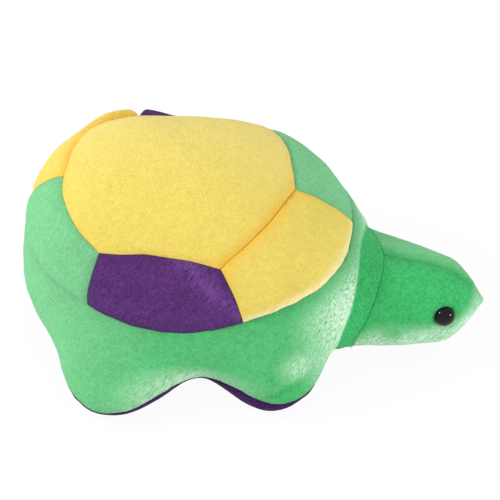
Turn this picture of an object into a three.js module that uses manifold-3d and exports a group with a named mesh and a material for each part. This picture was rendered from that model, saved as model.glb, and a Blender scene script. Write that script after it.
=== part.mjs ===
// A stuffed turtle sewn from coloured fleece: a domed shell of seven panels,
// a green band that spreads into four feet, a belly panel and a soft head.
// Millimetres, +Z up, +X towards the head, +Y the turtle's left side.
// The origin lies on the ground below the middle of the shell.
import * as THREE from 'three';
import { mergeVertices } from 'three/addons/utils/BufferGeometryUtils.js';
import Module from 'manifold-3d';

const wasm = await Module();
wasm.setup();

// Fabric and sewing
const fleeceThickness = 2.0;
const seamAllowance = 3.6;
const seamFoldWidth = 2.6;
const seamSink = 1.1;
const panelCrown = 0.9;
const seamGap = 0.3;
const fillClearance = 0.5;
const cutOverrun = 12;

// Shell dome: half-lengths and half-width of its rim, and the place of its top
const shellFrontReach = 65.5;
const shellRearReach = 75;
const shellHalfWidth = 54.2;
const shellTopX = -12;
const shellTopHeight = 98.2;
const shellSquareness = 2.26;

// Heights and angles at the front, front corner, side, rear corner and rear
const sideKeyIndex = 2;
const keyBearings = [0, 60, 90, 133, 180].map(THREE.MathUtils.degToRad);
const rimHeight = 55;
const rimHeightShares = [1, 0.92, 0.767, 0.838, 0.949];
const rimSteepness = [62, 78, 78, 88, 86].map(THREE.MathUtils.degToRad);
const bellySeamHeight = 15;
const bellySeamShares = [0.8, 1.13, 1, 1, 0.93];

// Belly seam: half-lengths and half-width of the body between the feet
const bellyFrontReach = 64.8;
const bellyRearReach = 72;
const bellyHalfWidth = 52;
const bellySquareness = 2.6;
const reachBlendFactor = 3;
const bandBulgeShares = [1, 0.455, 0.6, 0.173, 0.2];
const bandLowerPullShare = 0.206;
const bandLowerRiseShare = 0.345;

// Hollow between the chest and each front foot
const chestHollowBearing = THREE.MathUtils.degToRad(29);
const chestHollowSpread = THREE.MathUtils.degToRad(14);
const chestHollowPower = 2;
const chestHollowDepth = 3.3;
const chestHollowBulgeShare = 0.38;

// Feet: lobes of the band and the belly panel, by bearing from the front
const frontFootReachOut = 7.7;
const frontFootSeamHeight = 6.7;
const rearFootReachOut = 5.6;
const rearFootSeamHeight = 5.4;
const feet = [
  {
    name: 'front',
    bearing: THREE.MathUtils.degToRad(47),
    spread: THREE.MathUtils.degToRad(19.6),
    reach: bellyFrontReach + frontFootReachOut,
    seamHeight: frontFootSeamHeight,
    leanShare: 0,
    leanBearing: THREE.MathUtils.degToRad(60),
    leanSpread: THREE.MathUtils.degToRad(17),
  },
  {
    name: 'rear',
    bearing: THREE.MathUtils.degToRad(119),
    spread: THREE.MathUtils.degToRad(23.3),
    reach: bellyRearReach + rearFootReachOut,
    seamHeight: rearFootSeamHeight,
    leanShare: 0.88,
    leanBearing: THREE.MathUtils.degToRad(100),
    leanSpread: THREE.MathUtils.degToRad(10),
  },
];
const footLowerPullShare = 0.018;
const footLobePower = 2.4;

// Belly: how its curved edge leans under the seam, and its width, by height
const bellyLeanShare = 1.1;
const bellyCornerWidthShare = 2.2;
const footCornerWidthShare = 1.4;
const bellyCornerShare = 0.5;

// Filling: how far the middle of it reaches past the body without its feet
const middleGrowth = 2.5;
const feetPartX = 6;
const feetTopZ = 40;

// Sewing pattern of the shell: corners of the centre panel and the rim ends of
// the seams that run out from them, from the front corner round by the right
const cornerBearings = [-0.8, -67.3, -128.6, -169.5, -231.4, -294].map(THREE.MathUtils.degToRad);
const cornerShares = [0.60, 0.69, 0.672, 0.534, 0.702, 0.701];
const seamEndBearings = [8.6, -62.2, -130, -181.6, -230, -298].map(THREE.MathUtils.degToRad);
const centreEdgeBowShare = 0.035;
const centreRowShares = [0.5];

// Head: tapers from the neck to a rounded nose. Lengths run from the neck's pivot.
const neckPivotReach = 7.2;
const neckPivotX = bellyFrontReach + neckPivotReach;
const neckInnerDepth = 8;
const neckInnerX = neckPivotX - neckInnerDepth;
const headWidestReach = 32.5;
const headWidestX = neckPivotX + headWidestReach;
const headReach = 51;
const noseX = neckPivotX + headReach;
const headAxisZ = 25.6;
const neckHalfWidth = 27.3;
const cheekHalfWidth = 15.4;
const neckHalfHeight = 23.8;
const cheekHalfHeight = 16.2;
const chinHalfHeight = 19.1;
const noseLift = 1.4;
const noseLiftPower = 2;
const chinSquareness = 2.3;
const cheekTaperPower = 0.66;
const noseRoundPower = 1.27;
const neckInsertion = 4;
const neckBallRadius = 15.5;
const nodDown = THREE.MathUtils.degToRad(10);
const nodUp = THREE.MathUtils.degToRad(15);
const nodSteps = 5;
const seamFlapThickness = 1.2;

// Chin panel: lies below a plane that drops towards the nose
const chinSeamDropAtNeck = 13.6;
const chinSeamDropAtNose = 16.8;
const chinReach = 36;
const chinNoseX = neckPivotX + chinReach;
const chinSeamAllowance = 2.8;

// Eyes: domed buttons on a shank that a lock washer holds inside the head. The left
// one sits a little lower, because the head is sewn on with a slight roll.
const eyeReach = 35.7;
const eyeX = neckPivotX + eyeReach;
const eyeRises = { right: 4.6, left: 1.9 };
const eyeDiameter = 9;
const eyeDomeHeight = 4.2;
const eyeRimHeight = 0.8;
const eyeShankDiameter = 3;
const eyeShankLength = 9.5;
const eyeShankGrooves = 2;
const eyeShankPlainPitches = 2;
const eyeShankGrooveDepth = 0.3;
const washerDiameter = 11;
const washerThickness = 1.2;
const washerDepth = 4.3;
const washerCollarHeight = 1.6;
const washerCollarDiameter = 5.4;

// Mesh resolution
const columnsPerPanel = 8;
const headRowShares = [0, 0.22, 0.44, 0.62, 0.75, 0.85, 0.93, 0.98, 1];
const domeSteps = 4;
const bellyFoldLimitShare = 0.4;
const shellRows = 3;
const bandRows = 4;
const headSides = 24;
const roundSides = 14;
const roundRings = 7;
const middleSides = 24;
const middleShellShares = [0, 0.5, 1];
const middleBandShares = [0.35, 0.7, 1];
const slopeStep = 1e-4;
const mergeDistance = 1e-3;

const finishes = {
  yellow: { color: 0xf2dc6c, roughness: 0.95, metalness: 0 },
  green: { color: 0x55c878, roughness: 0.95, metalness: 0 },
  purple: { color: 0x6f4391, roughness: 0.95, metalness: 0 },
  fibre: { color: 0xf3f1ea, roughness: 1, metalness: 0 },
  eye: { color: 0x0c0c0e, roughness: 0.12, metalness: 0 },
  washer: { color: 0xd9d9d6, roughness: 0.6, metalness: 0 },
};

// Value between the five key bearings, alike on both sides of the turtle
function aroundBody(values, bearing) {
  const place = Math.cos(bearing);
  let sum = 0;
  for (let i = 0; i < values.length; i++) {
    let weight = 1;
    for (let j = 0; j < values.length; j++) {
      if (j === i) continue;
      const keyI = Math.cos(keyBearings[i]);
      const keyJ = Math.cos(keyBearings[j]);
      weight *= (place - keyJ) / (keyI - keyJ);
    }
    sum += values[i] * weight;
  }
  return sum;
}

// Radius of a rounded oval with its own front and rear reach
function ovalRadius(bearing, front, rear, side, squareness) {
  const along = Math.cos(bearing);
  const across = Math.sin(bearing);
  const frontShare = (1 + Math.tanh(reachBlendFactor * along)) / 2;
  const reach = front * frontShare + rear * (1 - frontShare);
  const power = Math.abs(along / reach) ** squareness + Math.abs(across / side) ** squareness;
  return power ** (-1 / squareness);
}

function fromBearing(radius, bearing, height) {
  return new THREE.Vector3(radius * Math.cos(bearing), radius * Math.sin(bearing), height);
}

function rimHeightAt(bearing) {
  return rimHeight * aroundBody(rimHeightShares, bearing);
}

function rimRadius(bearing) {
  return ovalRadius(bearing, shellFrontReach, shellRearReach, shellHalfWidth, shellSquareness);
}

// How far a bearing lies within a lobe, from 0 beside it to 1 at its middle
function lobeAt(bearing, middle, spread, power) {
  const turn = Math.abs(Math.atan2(Math.sin(bearing), Math.cos(bearing)));
  return Math.exp(-(Math.abs((turn - middle) / spread) ** power));
}

function footLobe(bearing, middle, spread) {
  return lobeAt(bearing, middle, spread, footLobePower);
}

function chestHollow(bearing) {
  return lobeAt(bearing, chestHollowBearing, chestHollowSpread, chestHollowPower);
}

// Belly seam at a bearing: its radius and height, how the band leans above it
// and how the belly's edge leans below it. The body's middle has no feet.
function bellySeam(bearing, seamFeet) {
  const plainRadius = ovalRadius(bearing, bellyFrontReach, bellyRearReach, bellyHalfWidth, bellySquareness);
  const seam = {
    radius: plainRadius - chestHollowDepth * chestHollow(bearing),
    height: bellySeamHeight * aroundBody(bellySeamShares, bearing),
    pullShare: bandLowerPullShare,
    cornerWidthShare: bellyCornerWidthShare,
    leanShare: bellyLeanShare,
  };
  for (const foot of seamFeet) {
    const lobe = footLobe(bearing, foot.bearing, foot.spread);
    const leanLobe = footLobe(bearing, foot.leanBearing, foot.leanSpread);
    seam.radius += (foot.reach - seam.radius) * lobe;
    seam.height += (foot.seamHeight - seam.height) * lobe;
    seam.pullShare += (footLowerPullShare - seam.pullShare) * lobe;
    seam.cornerWidthShare += (footCornerWidthShare - seam.cornerWidthShare) * lobe;
    seam.leanShare += (foot.leanShare - seam.leanShare) * leanLobe;
  }
  return seam;
}

// Shell surface: share 0 at the top and 1 at the rim
function shellPoint(bearing, share) {
  const steepness = aroundBody(rimSteepness, bearing);
  const height = rimHeightAt(bearing);
  const outwards = Math.sin(steepness * share) / Math.sin(steepness);
  const upShare = (Math.cos(steepness * share) - Math.cos(steepness)) / (1 - Math.cos(steepness));
  const point = fromBearing(rimRadius(bearing) * outwards, bearing, height);
  point.x += shellTopX * (1 - outwards);
  point.z += (shellTopHeight - height) * upShare;
  return point;
}

// Band surface: share 0 at the shell's rim and 1 at the belly seam
function bandPoint(bearing, share, seamFeet = feet) {
  const steepness = aroundBody(rimSteepness, bearing);
  const top = { radius: rimRadius(bearing), height: rimHeightAt(bearing) };
  const seam = bellySeam(bearing, seamFeet);
  const out = (top.radius - shellTopX * Math.cos(bearing)) / Math.tan(steepness);
  const down = (shellTopHeight - top.height) * Math.sin(steepness) / (1 - Math.cos(steepness));
  const slope = Math.hypot(out, down);
  const drop = Math.hypot(top.radius - seam.radius, top.height - seam.height);
  const hollow = 1 - chestHollowBulgeShare * chestHollow(bearing);
  const bulge = drop * aroundBody(bandBulgeShares, bearing) * hollow;
  const radii = [top.radius, top.radius + bulge * out / slope,
    seam.radius + seam.pullShare * drop, seam.radius];
  const heights = [top.height, top.height - bulge * down / slope,
    seam.height + bandLowerRiseShare * drop, seam.height];
  const curve = new THREE.CubicBezierCurve(...radii.map((r, i) => new THREE.Vector2(r, heights[i])));
  const place = curve.getPoint(share);
  return fromBearing(place.x, bearing, place.y);
}

// Belly surface: share 0 at the belly seam and 1 in the middle of the flat. It
// curves under from the seam and then lies flat on the ground.
function bellyPoint(bearing, share, seamFeet = feet) {
  const seam = bellySeam(bearing, seamFeet);
  const lean = seam.height * seam.leanShare;
  const width = seam.height * Math.max(seam.cornerWidthShare, seam.leanShare);
  const turn = Math.min(1, share / bellyCornerShare);
  const flatShare = Math.max(0, share - bellyCornerShare) / (1 - bellyCornerShare);
  const under = 2 * turn * (1 - turn) * lean + turn * turn * width;
  return fromBearing((seam.radius - under) * (1 - flatShare), bearing, seam.height * (1 - turn) ** 2);
}

const bodyMiddle = new THREE.Vector3(0, 0, shellTopHeight / 2);

// Outward direction of a surface of the body, from its slopes in both ways
function outwards(surface, bearing, share) {
  const along = surface(bearing + slopeStep, share).sub(surface(bearing - slopeStep, share));
  const down = surface(bearing, share + slopeStep).sub(surface(bearing, share - slopeStep));
  const out = along.cross(down).normalize();
  return out.dot(surface(bearing, share).sub(bodyMiddle)) < 0 ? out.negate() : out;
}

// Both sides of the belly seam turn in along the direction halfway between them
function bellySeamOut(bearing) {
  const above = outwards(bandPoint, bearing, 1);
  return above.add(outwards(bellyPoint, bearing, slopeStep)).normalize();
}

function geometryOf(points, triangles) {
  const geometry = new THREE.BufferGeometry();
  const positions = points.flatMap((p) => [p.x, p.y, p.z]);
  geometry.setAttribute('position', new THREE.Float32BufferAttribute(positions, 3));
  geometry.setIndex(triangles.flat());
  return geometry;
}

function solidOf(geometry) {
  const plain = geometry.clone();
  plain.deleteAttribute('normal');
  plain.deleteAttribute('uv');
  const merged = mergeVertices(plain, mergeDistance);
  const corners = Array.from(merged.index.array);
  const kept = [];
  for (let i = 0; i < corners.length; i += 3) {
    const [a, b, c] = corners.slice(i, i + 3);
    if (a !== b && b !== c && c !== a) kept.push(a, b, c);
  }
  return new wasm.Manifold(new wasm.Mesh({
    numProp: 3,
    vertProperties: new Float32Array(merged.attributes.position.array),
    triVerts: new Uint32Array(kept),
  }));
}

function geometryFrom(solid) {
  const mesh = solid.getMesh();
  const geometry = new THREE.BufferGeometry();
  geometry.setAttribute('position', new THREE.BufferAttribute(new Float32Array(mesh.vertProperties), 3));
  geometry.setIndex(new THREE.BufferAttribute(new Uint32Array(mesh.triVerts), 1));
  return geometry;
}

function subtractAll(solid, cutters) {
  return cutters.reduce((left, cutter) => left.subtract(cutter), solid);
}

function addAll(solids) {
  return solids.reduce((sum, solid) => sum.add(solid));
}

// Columns across a panel of a given length: close to the seams, then even
function stopsBetweenSeams(length, inner) {
  const fold = seamFoldWidth / length;
  const stops = [0, fold];
  for (let i = 1; i < inner; i++) stops.push(fold + (1 - 2 * fold) * i / inner);
  stops.push(1 - fold, 1);
  return stops;
}

// A panel is a grid of places: grid[i][j] holds a point of the surface and its
// outward direction, and sides names the sides that are sewn to a neighbour.
// liftAt says how far the fabric lies off the surface there.
function sheetPoints({ grid, sides }, inset, liftAt) {
  const lastI = grid.length - 1;
  const lastJ = grid[0].length - 1;
  const crownAcross = (k, last, start, end) => {
    if (start && end) return 4 * (k / last) * (1 - k / last);
    return end ? Math.cos(k / last * Math.PI / 2) : 1;
  };
  return grid.map((column, i) => column.map(({ point, out, isFlat }, j) => {
    const moved = point.clone();
    const pullTowards = (neighbour) => {
      moved.addScaledVector(neighbour.point.clone().sub(point).normalize(), inset);
    };
    const seams = [
      sides.startI && i === 0 && grid[1][j],
      sides.endI && i === lastI && grid[lastI - 1][j],
      sides.startJ && j === 0 && column[1],
      sides.endJ && j === lastJ && column[lastJ - 1],
    ].filter(Boolean);
    seams.forEach(pullTowards);
    const crown = isFlat ? 0 : panelCrown * crownAcross(i, lastI, sides.startI, sides.endI)
      * crownAcross(j, lastJ, sides.startJ, sides.endJ);
    return moved.addScaledVector(out, liftAt(seams.length > 0, crown));
  }));
}

// The fabric sinks into each seam, and its edge turns in by the seam allowance
const outerLift = (isSeam, crown) => (isSeam ? -seamSink : crown);
const innerLift = (isSeam, crown) => (isSeam ? -seamAllowance : crown - fleeceThickness);

function quad(a, b, c, d) {
  return [[a, b, c], [a, c, d]];
}

function solidFromPoints(corners) {
  const points = corners.flat();
  return solidOf(geometryOf(points, points.map((_, i) => i)));
}

function sheetTriangles(sheet) {
  const triangles = [];
  for (let i = 0; i + 1 < sheet.length; i++) {
    for (let j = 0; j + 1 < sheet[i].length; j++) {
      triangles.push(...quad(sheet[i][j], sheet[i + 1][j], sheet[i + 1][j + 1], sheet[i][j + 1]));
    }
  }
  return triangles;
}

// A sewn panel as a closed solid: its outer sheet, its inner sheet turned over
// and a wall along each sewn side. The walls on both sides of a seam are split
// along the same diagonals, so that they stay parallel where the seam twists.
function sewnPanel(panel) {
  const outer = sheetPoints(panel, seamGap / 2, outerLift);
  const inner = sheetPoints(panel, seamGap / 2, innerLift);
  const lastI = outer.length - 1;
  const lastJ = outer[0].length - 1;
  const { startI, endI, startJ, endJ } = panel.sides;
  const triangles = [...sheetTriangles(outer), ...sheetTriangles(inner).map(([a, b, c]) => [a, c, b])];
  for (let i = 0; i < lastI; i++) {
    if (startJ) triangles.push(...quad(inner[i + 1][0], outer[i + 1][0], outer[i][0], inner[i][0]));
    if (endJ) {
      triangles.push(...quad(outer[i][lastJ], outer[i + 1][lastJ], inner[i + 1][lastJ], inner[i][lastJ]));
    }
  }
  for (let j = 0; j < lastJ; j++) {
    if (startI) triangles.push(...quad(outer[0][j], outer[0][j + 1], inner[0][j + 1], inner[0][j]));
    if (endI) {
      triangles.push(...quad(inner[lastI][j + 1], outer[lastI][j + 1], outer[lastI][j], inner[lastI][j]));
    }
  }
  return solidFromPoints(triangles);
}

// The shell is laid out on a flat disc whose edge is the rim: a place on it is
// a bearing and a share of the way from the top to the rim
function onDisc(bearing, share) {
  return new THREE.Vector2(share * Math.cos(bearing), share * Math.sin(bearing));
}

function shellAt(disc) {
  const bearing = Math.atan2(disc.y, disc.x);
  const share = disc.length();
  if (share < slopeStep) return { point: shellPoint(0, 0), out: new THREE.Vector3(0, 0, 1) };
  return { point: shellPoint(bearing, share), out: outwards(shellPoint, bearing, share) };
}

// Edge k of the centre panel, bowed a little outwards
function centreEdge(k, share) {
  const next = (k + 1) % cornerBearings.length;
  const start = onDisc(cornerBearings[k], cornerShares[k]);
  const end = onDisc(cornerBearings[next], cornerShares[next]);
  const bow = centreEdgeBowShare * 4 * share * (1 - share);
  const middle = start.clone().lerp(end, share);
  return middle.addScaledVector(middle.clone().normalize(), bow);
}

function rimBearing(k, share) {
  const start = seamEndBearings[k];
  const end = k + 1 < seamEndBearings.length ? seamEndBearings[k + 1] : seamEndBearings[0] - 2 * Math.PI;
  return start + (end - start) * share;
}

const panelColumns = seamEndBearings.map((bearing, k) => {
  const length = Math.abs(rimBearing(k, 1) - bearing) * rimRadius(bearing);
  return stopsBetweenSeams(length, columnsPerPanel - 2);
});

const allSewn = { startI: true, endI: true, startJ: true, endJ: true };

// Neighbouring ring panels share the stops along the seam between them
const sideCorner = shellPoint(cornerBearings[1], cornerShares[1]);
const ringReach = sideCorner.distanceTo(shellPoint(seamEndBearings[1], 1));
const ringRows = stopsBetweenSeams(ringReach, shellRows);

function shellRingPanel(k) {
  const grid = panelColumns[k].map((u) => ringRows.map((v) => {
    const rim = onDisc(rimBearing(k, u), 1);
    return shellAt(centreEdge(k, u).lerp(rim, v));
  }));
  return { grid, sides: allSewn };
}

function shellCentrePanel() {
  const reach = shellPoint(0, 0).distanceTo(sideCorner);
  const rows = [0, ...centreRowShares, 1 - seamFoldWidth / reach, 1];
  const places = panelColumns.flatMap((stops, k) => stops.slice(0, -1).map((u) => centreEdge(k, u)));
  places.push(places[0].clone());
  const grid = places.map((edge) => rows.map((v) => shellAt(edge.clone().multiplyScalar(v))));
  return { grid, sides: { endJ: true } };
}

// Bearings of all columns round the body, from the rear seam back to itself
const rearSeamIndex = 3;
const bodyBearings = panelColumns.flatMap((_, step) => {
  const k = (rearSeamIndex + step) % panelColumns.length;
  const wholeTurn = rearSeamIndex + step >= panelColumns.length ? 2 * Math.PI : 0;
  return panelColumns[k].slice(0, -1).map((u) => rimBearing(k, u) - wholeTurn);
});
bodyBearings.push(bodyBearings[0] - 2 * Math.PI);

// Directions on the seams are the same for the panels on both of their sides
function bandOut(bearing, share) {
  if (share === 0) return outwards(shellPoint, bearing, 1);
  return share === 1 ? bellySeamOut(bearing) : outwards(bandPoint, bearing, share);
}

function bandPanel() {
  const side = keyBearings[sideKeyIndex];
  const rows = stopsBetweenSeams(rimHeightAt(side) - bellySeamHeight, bandRows);
  const grid = bodyBearings.map((bearing) => rows.map((v) => (
    { point: bandPoint(bearing, v), out: bandOut(bearing, v) })));
  return { grid, sides: allSewn };
}

function bellyPanel() {
  const grid = bodyBearings.map((bearing) => {
    const corner = bellyPoint(bearing, 0).distanceTo(bellyPoint(bearing, bellyCornerShare));
    const fold = Math.min(bellyCornerShare * bellyFoldLimitShare, bellyCornerShare * seamFoldWidth / corner);
    const rows = [0, fold, (fold + bellyCornerShare) / 2, bellyCornerShare, 1];
    return rows.map((v) => {
      const out = v === 0 ? bellySeamOut(bearing) : outwards(bellyPoint, bearing, v);
      if (v >= bellyCornerShare) out.set(0, 0, -1);
      return { point: bellyPoint(bearing, v), out, isFlat: true };
    });
  });
  return { grid, sides: { startJ: true } };
}

const ringPanels = seamEndBearings.map((_, k) => shellRingPanel(k));
const bodyPanels = [shellCentrePanel(), ...ringPanels, bandPanel(), bellyPanel()];

// The whole body as one closed solid, with its surface lifted or sunk
function bodySolid(liftAt) {
  return solidFromPoints(bodyPanels.flatMap((panel) => sheetTriangles(sheetPoints(panel, 0, liftAt))));
}

// Half-width, half-height and lift of the head's middle at a place along it
function headSection(x, upwards, inset) {
  const backShare = Math.max(0, (headWidestX - x) / (headWidestX - neckInnerX));
  const noseShare = Math.max(0, (x - headWidestX) / (noseX - inset - headWidestX));
  const round = Math.max(0, 1 - noseShare ** 2) ** noseRoundPower;
  const width = cheekHalfWidth + (neckHalfWidth - cheekHalfWidth) * backShare ** cheekTaperPower;
  const crownHeight = cheekHalfHeight + (neckHalfHeight - cheekHalfHeight) * backShare;
  const height = upwards ? crownHeight : chinHalfHeight;
  const lift = noseLift * Math.max(0, (x - headWidestX) / (noseX - headWidestX)) ** noseLiftPower;
  return { width: (width - inset) * round, height: (height - inset) * round, lift };
}

// Point of the head's surface, with the angle from the left side over the top
function headPoint(x, angle, inset = 0) {
  const up = Math.sin(angle) > 0;
  const { width, height, lift } = headSection(x, up, inset);
  const power = up ? 1 : 2 / chinSquareness;
  const across = Math.sign(Math.cos(angle)) * Math.abs(Math.cos(angle)) ** power;
  const rise = Math.sign(Math.sin(angle)) * Math.abs(Math.sin(angle)) ** power;
  return new THREE.Vector3(x, width * across, headAxisZ + lift + height * rise);
}

// The head as one closed solid from inside the neck to the nose
function headSolid(inset, innerX = neckInnerX) {
  const tip = noseX - inset;
  const columns = [];
  for (let i = 0; i <= headSides; i++) {
    const angle = 2 * Math.PI * i / headSides;
    const column = headRowShares.map((share) => headPoint(innerX + (tip - innerX) * share, angle, inset));
    column.unshift(new THREE.Vector3(innerX, 0, headAxisZ));
    columns.push(column);
  }
  return solidFromPoints(sheetTriangles(columns));
}

function box(minimum, maximum) {
  const size = maximum.clone().sub(minimum);
  const middle = minimum.clone().add(maximum).divideScalar(2);
  const geometry = new THREE.BoxGeometry(size.x, size.y, size.z);
  return solidOf(geometry.translate(middle.x, middle.y, middle.z));
}

const farRight = -neckHalfWidth - cutOverrun;
const headTop = headAxisZ + neckHalfHeight + cutOverrun;
const headEnd = noseX + cutOverrun;

// Slab of a half-thickness on the head's middle plane, above the chin panel
function midlineSlab(half) {
  const far = new THREE.Vector3(headEnd, half, headTop);
  const above = box(new THREE.Vector3(neckInnerX, -half, headAxisZ), far);
  return above.add(box(new THREE.Vector3(chinNoseX, -half, 0), far));
}

// Slab between two heights above the sloping plane of the chin seam
function chinSlab(low, high) {
  const slope = Math.atan2(chinSeamDropAtNose - chinSeamDropAtNeck, chinReach);
  const corner = new THREE.Vector3(-neckInnerDepth - cutOverrun, farRight, low);
  const opposite = new THREE.Vector3(headReach + 2 * cutOverrun, -farRight, high);
  const degrees = THREE.MathUtils.radToDeg(slope);
  return box(corner, opposite).rotate([0, degrees, 0])
    .translate([neckPivotX, 0, headAxisZ - chinSeamDropAtNeck]);
}

// Eye: a domed button turned on its own axis, with a grooved shank
function eyeProfile() {
  const radius = eyeDiameter / 2;
  const shank = eyeShankDiameter / 2;
  const points = [new THREE.Vector2(0, eyeDomeHeight)];
  for (let i = 1; i <= domeSteps; i++) {
    const turn = i / domeSteps * Math.PI / 2;
    const height = eyeRimHeight + (eyeDomeHeight - eyeRimHeight) * Math.cos(turn);
    points.push(new THREE.Vector2(radius * Math.sin(turn), height));
  }
  points.push(new THREE.Vector2(radius, 0), new THREE.Vector2(shank, 0));
  const pitch = eyeShankLength / (eyeShankGrooves + eyeShankPlainPitches);
  for (let i = 1; i <= eyeShankGrooves; i++) {
    const depth = -pitch * (i + 1);
    points.push(new THREE.Vector2(shank, depth + pitch / 2));
    points.push(new THREE.Vector2(shank - eyeShankGrooveDepth, depth + pitch / 4));
    points.push(new THREE.Vector2(shank, depth));
  }
  points.push(new THREE.Vector2(shank, -eyeShankLength + eyeShankGrooveDepth));
  points.push(new THREE.Vector2(shank - eyeShankGrooveDepth, -eyeShankLength));
  points.push(new THREE.Vector2(0, -eyeShankLength));
  return points.reverse();
}

// Lock washer: a disc with a collar round the hole that grips the shank
function washerProfile() {
  const hole = eyeShankDiameter / 2 + seamGap;
  const top = -washerDepth;
  const base = top - washerThickness;
  return [
    new THREE.Vector2(hole, top),
    new THREE.Vector2(hole, base - washerCollarHeight),
    new THREE.Vector2(washerCollarDiameter / 2, base - washerCollarHeight),
    new THREE.Vector2(washerCollarDiameter / 2, base),
    new THREE.Vector2(washerDiameter / 2, base),
    new THREE.Vector2(washerDiameter / 2, top),
    new THREE.Vector2(hole, top),
  ];
}

function turned(profile) {
  return new THREE.LatheGeometry(profile, roundSides).rotateX(Math.PI / 2);
}

function ballAt(radius, place) {
  const sphere = new THREE.SphereGeometry(radius, roundSides, roundRings).rotateX(Math.PI / 2);
  return solidOf(sphere.translate(place.x, place.y, place.z));
}

function cylinderAlong(radius, from, to) {
  const geometry = new THREE.CylinderGeometry(radius, radius, to - from, roundSides);
  return geometry.rotateX(Math.PI / 2).translate(0, 0, (from + to) / 2);
}

// Where an eye sits: on the skin, with its axis along the outward direction
function eyePlace(side, rise) {
  const { height } = headSection(eyeX, true, 0);
  const angle = Math.asin(rise / height);
  const at = (x, a) => headPoint(x, side > 0 ? a : Math.PI - a);
  const along = at(eyeX + slopeStep, angle).sub(at(eyeX - slopeStep, angle));
  const around = at(eyeX, angle + slopeStep).sub(at(eyeX, angle - slopeStep));
  const out = along.cross(around).normalize();
  if (out.y * side < 0) out.negate();
  const seat = at(eyeX, angle).addScaledVector(out, seamGap);
  const turn = new THREE.Quaternion().setFromUnitVectors(new THREE.Vector3(0, 0, 1), out);
  return new THREE.Matrix4().compose(seat, turn, new THREE.Vector3(1, 1, 1));
}

const turtle = new THREE.Group();

function addPiece(name, geometry, finish) {
  const mesh = new THREE.Mesh(geometry, new THREE.MeshStandardMaterial(finish));
  mesh.name = name;
  turtle.add(mesh);
}

// The shell's panels, the band and the belly panel, with an opening for the neck
const panelFinishes = [
  ['shell_centre_panel', finishes.yellow],
  ['shell_front_right_panel', finishes.yellow],
  ['shell_right_panel', finishes.purple],
  ['shell_rear_right_panel', finishes.green],
  ['shell_rear_left_panel', finishes.yellow],
  ['shell_left_panel', finishes.purple],
  ['shell_front_left_panel', finishes.green],
];
const skins = bodyPanels.map(sewnPanel);
panelFinishes.forEach(([name, finish], k) => addPiece(name, geometryFrom(skins[k]), finish));
const [bandSkin, bellySkin] = skins.slice(-2);
const neckOpening = headSolid(-seamGap, neckInnerX - seamAllowance);
addPiece('band_panel', geometryFrom(bandSkin.subtract(neckOpening)), finishes.green);
addPiece('belly_panel', geometryFrom(bellySkin.subtract(neckOpening)), finishes.purple);

// The middle of the filling: the shape of the body without its feet
function middleSolid(growth) {
  const shell = (bearing, share) => shellPoint(bearing, share);
  const band = (bearing, share) => bandPoint(bearing, share, []);
  const grown = (surface, bearing, share) => (
    surface(bearing, share).addScaledVector(outwards(surface, bearing, share), growth));
  const columns = [];
  for (let i = 0; i <= middleSides; i++) {
    const bearing = -2 * Math.PI * i / middleSides;
    const column = [
      shellPoint(0, 0).setZ(shellTopHeight + growth),
      ...middleShellShares.slice(1).map((share) => grown(shell, bearing, share)),
      ...middleBandShares.map((share) => grown(band, bearing, share)),
      bellyPoint(bearing, bellyCornerShare, []).setZ(-growth),
      new THREE.Vector3(0, 0, -growth),
    ];
    columns.push(column);
  }
  return solidFromPoints(sheetTriangles(columns));
}

// The fibre inside: a middle part, and in each foot what the middle leaves free
const neckPivot = new THREE.Vector3(neckPivotX, 0, headAxisZ);
const socketShare = 1 / Math.cos(Math.PI / roundSides) ** 2;
const neckSocket = ballAt((neckBallRadius + seamGap) * socketShare, neckPivot);
const fillLift = (isSeam, crown) => innerLift(isSeam, crown) - fillClearance;
const bodyInside = subtractAll(bodySolid(fillLift), [neckOpening, neckSocket]);
addPiece('body_stuffing', geometryFrom(bodyInside.intersect(middleSolid(middleGrowth))), finishes.fibre);

const feetInside = bodyInside.subtract(middleSolid(middleGrowth + seamGap));
const farSide = shellHalfWidth + 2 * cutOverrun;
const frontSpan = [feetPartX + seamGap / 2, shellFrontReach + cutOverrun];
const rearSpan = [-shellRearReach - cutOverrun, feetPartX - seamGap / 2];
const quarters = [
  { name: 'front_right', x: frontSpan, y: [-farSide, 0] },
  { name: 'front_left', x: frontSpan, y: [0, farSide] },
  { name: 'rear_right', x: rearSpan, y: [-farSide, 0] },
  { name: 'rear_left', x: rearSpan, y: [0, farSide] },
];
for (const { name, x, y } of quarters) {
  const quarter = box(new THREE.Vector3(x[0], y[0], 0), new THREE.Vector3(x[1], y[1], feetTopZ));
  addPiece(`${name}_foot_stuffing`, geometryFrom(feetInside.intersect(quarter)), finishes.fibre);
}

// Head skins: shells of the head, parted on the midline and on the chin seam,
// whose edges turn in by the seam allowance and reach a little into the neck
const headOutside = headSolid(0);
const headFlaps = headOutside.subtract(headSolid(seamAllowance));
const chinFlaps = headOutside.subtract(headSolid(chinSeamAllowance));
const flapHalf = seamGap / 2 + seamFlapThickness;
const headSkin = addAll([
  headOutside.subtract(headSolid(fleeceThickness)),
  headFlaps.intersect(midlineSlab(flapHalf)),
  chinFlaps.intersect(chinSlab(-flapHalf, flapHalf)),
]).subtract(bodySolid(() => -neckInsertion));
const aboveChin = chinSlab(seamGap / 2, headTop);
const belowChin = chinSlab(-headTop, -seamGap / 2);
const rightHalf = box(new THREE.Vector3(0, farRight, 0), new THREE.Vector3(headEnd, -seamGap / 2, headTop));
const leftHalf = box(new THREE.Vector3(0, seamGap / 2, 0), new THREE.Vector3(headEnd, -farRight, headTop));
const eyes = [
  { name: 'right', half: rightHalf, place: eyePlace(-1, eyeRises.right) },
  { name: 'left', half: leftHalf, place: eyePlace(1, eyeRises.left) },
];
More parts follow.
